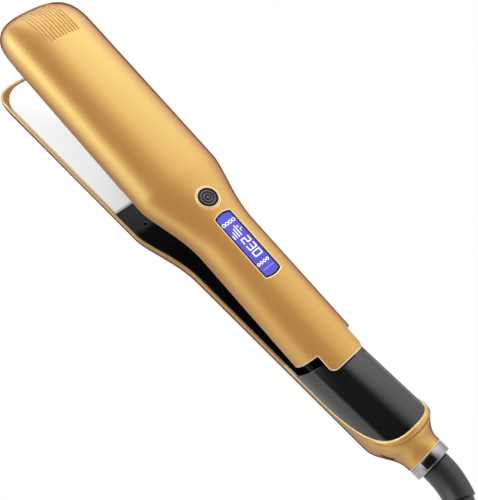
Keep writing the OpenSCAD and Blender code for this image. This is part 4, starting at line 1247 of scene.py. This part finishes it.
# material: pieces and their edge bevels in mm
CAD_LOOKS = {
    "black_gloss": dict(lower_inner_frame=0.22, upper_inner_frame=0.18, ring_window=0.12),
    "tail_ring_steel": dict(swivel_ring=0.22),
    "black_matte": dict(
        swivel_socket=0.15, lower_plate_cradle=0.15, upper_plate_cradle=0.15, tact_switch=0.1,
        board_triac=0.12, board_chip=0.06, swivel_hub=0.15),
    "contact_brass": dict(slip_contacts=0.04, hub_contact_rings=0.1),
    "plate_coating": dict(lower_plate=0.5, upper_plate=0.5),
    "heater_ceramic": dict(lower_heater=0.1, upper_heater=0.1),
    "spring_steel": dict(
        lower_heater_clip=0.08, upper_heater_clip=0.08, hinge_pin=0.1, hinge_pin_clips=0.04,
        hinge_spring=0),
    "red_silicone": dict(lower_plate_pads=0.25, upper_plate_pads=0.25),
    "pale_silicone": dict(button_return_ring=0.2, lcd_contact_strips=0.1),
    "epoxy_bead": dict(lower_thermistor=0, upper_thermistor=0),
    "fuse_can": dict(thermal_fuse=0.1),
    "dark_steel": dict(ion_emitter=0.06, lower_screws=0.08, upper_screws=0.08),
    "blue_potting": dict(ion_module=0.4),
    "grey_sleeve": dict(lower_leads=0),
    "red_sleeve": dict(upper_leads=0),
    "acetal": dict(hinge_bushes=0.1),
    "backlight_blue": dict(lcd_backlight=0.1),
    "circuit_board": dict(control_board=0.12),
    "film_capacitor": dict(board_capacitor=0.35),
    "fuse_ceramic": dict(board_fuse=0.15),
    "white_nylon": dict(board_terminals=0.25),
    "copper_strands": dict(cord_cores=0.08),
}


def dress(name, look, bevel_mm):
    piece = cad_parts[name]
    piece.data.materials.clear()
    piece.data.materials.append(MATERIALS[look])
    for polygon in piece.data.polygons:
        polygon.use_smooth = True
        polygon.material_index = 0
    weld = piece.modifiers.new("weld", "WELD")
    weld.merge_threshold = 2e-6
    if bevel_mm:
        bevel = piece.modifiers.new("edges", "BEVEL")
        bevel.width = bevel_mm * MM
        bevel.segments = 3
        bevel.limit_method = "ANGLE"
        bevel.angle_limit = math.radians(40)
        bevel.use_clamp_overlap = True
        bevel.harden_normals = False
    piece.data.set_sharp_from_angle(angle=math.radians(38))
    if name.endswith("inner_frame"):
        piece.modifiers.new("flat", "WEIGHTED_NORMAL").keep_sharp = True


for look, pieces in CAD_LOOKS.items():
    for name, bevel_mm in pieces.items():
        dress(name, look, bevel_mm)

# ------------------------------------------------------------------ floor
# the floor's glow is painted light, seen only in reflections
FLOOR_NEAR, FLOOR_FAR = 1.45, 0.7  # glow in reflections, on the -y and +y sides


def floor_material():
    """White to the camera, a grey paper to the light, and a painted glow seen in reflections."""
    made = bpy.data.materials.new("floor_paper")
    made.use_nodes = True
    tree = made.node_tree
    paper = tree.nodes["Principled BSDF"]
    noise = add_node(tree, "TexNoise", {"Scale": 300}).outputs["Fac"]
    relief = add_node(tree, "Bump", {"Strength": 0.03, "Distance": 0.0002, "Height": noise})
    place = add_node(tree, "NewGeometry").outputs["Position"]
    axes = add_node(tree, "SeparateXYZ", {0: place}).outputs
    glow = map_range(tree, axes["Y"], FLOOR_NEAR, FLOOR_FAR, from_min=-0.06, from_max=0.06)
    # near side: under the barrel the painted glow is bright away from the iron and dim close to
    # it, a painted shadow of the iron
    barrel = dict(from_min=-0.10, from_max=-0.03)
    away = map_range(tree, axes["X"], 2.1, FLOOR_NEAR, **barrel)
    close = map_range(tree, axes["X"], 0.45, FLOOR_NEAR, **barrel)
    near = map_range(tree, axes["Y"], away, close, from_min=-0.13, from_max=-0.06)
    set_inputs(glow.node, {"To Min": near})
    rays = add_node(tree, "LightPath").outputs
    set_inputs(paper, {
        "Base Color": (0.28, 0.28, 0.28, 1), "Roughness": 0.9,
        "Normal": relief.outputs["Normal"], "Emission Color": (1, 0.99, 0.97, 1),
        "Emission Strength": math_node(tree, "MULTIPLY", glow, rays["Is Glossy Ray"])})
    white = add_node(tree, "Emission", {"Color": (1, 1, 1, 1), "Strength": 1.0})
    mixed = add_node(tree, "MixShader", {
        "Fac": math_node(tree, "MULTIPLY", rays["Is Camera Ray"], 0.997),
        1: paper.outputs["BSDF"], 2: white.outputs["Emission"]})
    set_inputs(tree.nodes["Material Output"], {"Surface": mixed.outputs["Shader"]})
    made.cycles.emission_sampling = "NONE"
    return made


bpy.ops.mesh.primitive_grid_add(x_subdivisions=40, y_subdivisions=40, size=8,
                                location=(0, 0, -0.0002))
floor = bpy.context.object
floor.name = "floor"
floor.data.materials.append(floor_material())

# ------------------------------------------------------------------ tent of light
TENT_TINT = (1, 0.985, 0.96)
TENT_FULL = 8.0  # light level of a full ramp colour
# degrees from overhead (positive toward -y), light level
TENT = ((-175, 0.9), (-110, 0.8), (-90, 1.2), (-68, 1.9), (-40, 2.15), (-30, 1.7), (-22, 0.8),
        (-12, 0.2), (-5, 0.12), (75, 0.12), (81, 0.6), (87, 1.25), (95, 1.62), (140, 1.7),
        (175, 1.0))
# the same for a panel low on the near side, toward the tip
SIDE = ((-5, 0.0), (42, 0.0), (52, 2.6), (64, 5.4), (100, 6.2), (117, 7.4), (127, 0.0))
TENT_LEAN = 15  # degrees the tent turns toward the tip
FILL_LEVEL, FILL_TOP = 0.5, 1.15  # diffuse fill at the horizon and overhead


def light_ramp(tree, turn, table):
    node = add_node(tree, "ValToRGB", {0: turn})
    ramp = node.color_ramp
    ramp.interpolation = "LINEAR"
    for i, (degrees, level) in enumerate(table):
        position = degrees / 360 + 0.5
        stop = ramp.elements[i] if i < 2 else ramp.elements.new(position)
        stop.position = position
        stop.color = (*[level / TENT_FULL * tint for tint in TENT_TINT], 1)
    return node.outputs["Color"]


def build_world():
    """Bright panels on the far side and low on the near side, a dark gap overhead toward
    the near side. Diffuse rays see an even fill and the camera sees white."""
    world = bpy.data.worlds.new("studio")
    bpy.context.scene.world = world
    world.use_nodes = True
    tree = world.node_tree
    tent = tree.nodes["Background"]
    coords = add_node(tree, "TexCoord").outputs["Generated"]
    axes = add_node(tree, "SeparateXYZ", {0: coords}).outputs
    across = math_node(tree, "MULTIPLY", axes["Y"], -1)
    angle = math_node(tree, "ARCTAN2", across, axes["Z"])
    turn = math_node(tree, "MULTIPLY_ADD", angle, 0.5 / math.pi, 0.5)
    side_color = light_ramp(tree, turn, SIDE)
    lean = map_range(tree, axes["X"], -TENT_LEAN / 360, 0.0, from_min=-0.26, from_max=0.04,
                     eased=True)
    tent_color = light_ramp(tree, math_node(tree, "ADD", turn, lean), TENT)
    gain = map_range(tree, axes["X"], 2.4, 1.0, from_min=-0.5, from_max=0.05, eased=True)
    set_inputs(tent, {"Color": tent_color,
                      "Strength": math_node(tree, "MULTIPLY", gain, TENT_FULL)})
    strength = map_range(tree, axes["X"], TENT_FULL, 0.0, from_min=-0.38, from_max=-0.08,
                         eased=True)
    side = add_node(tree, "Background", {"Color": side_color, "Strength": strength})
    both = add_node(tree, "AddShader", {
        0: tent.outputs["Background"], 1: side.outputs["Background"]})
    rays = add_node(tree, "LightPath").outputs
    fill = add_node(tree, "Background", {
        "Color": (*TENT_TINT, 1),
        "Strength": map_range(tree, axes["Z"], FILL_LEVEL, FILL_TOP)})
    white = add_node(tree, "Background", {"Color": (1, 1, 1, 1), "Strength": 1.0})
    lit = add_node(tree, "MixShader", {
        "Fac": rays["Is Diffuse Ray"], 1: both.outputs["Shader"],
        2: fill.outputs["Background"]})
    seen = add_node(tree, "MixShader", {
        "Fac": rays["Is Camera Ray"], 1: lit.outputs["Shader"],
        2: white.outputs["Background"]})
    set_inputs(tree.nodes["World Output"], {"Surface": seen.outputs["Shader"]})
    world.cycles.sampling_method = "NONE"


build_world()

# ------------------------------------------------------------------ camera and render
# columns: the camera's right, up and backward directions, then its place in metres
CAMERA_MATRIX = (
    (0.6903034, -0.6538546, 0.3097666, 0.027900),
    (0.7114542, 0.5355693, -0.4549708, -0.148646),
    (0.1315833, 0.5344526, 0.8348930, 0.304941),
    (0, 0, 0, 1),
)
scene = bpy.context.scene
lens = bpy.data.cameras.new("camera")
lens.lens = 51.787
lens.sensor_width = 36
lens.sensor_fit = "AUTO"
lens.clip_start = 0.01
camera = add_object("camera", lens)
camera.matrix_world = Matrix(CAMERA_MATRIX)
scene.camera = camera
scene.view_settings.view_transform = "Standard"
scene.view_settings.look = "None"
scene.cycles.max_bounces = 8
scene.cycles.transparent_max_bounces = 12
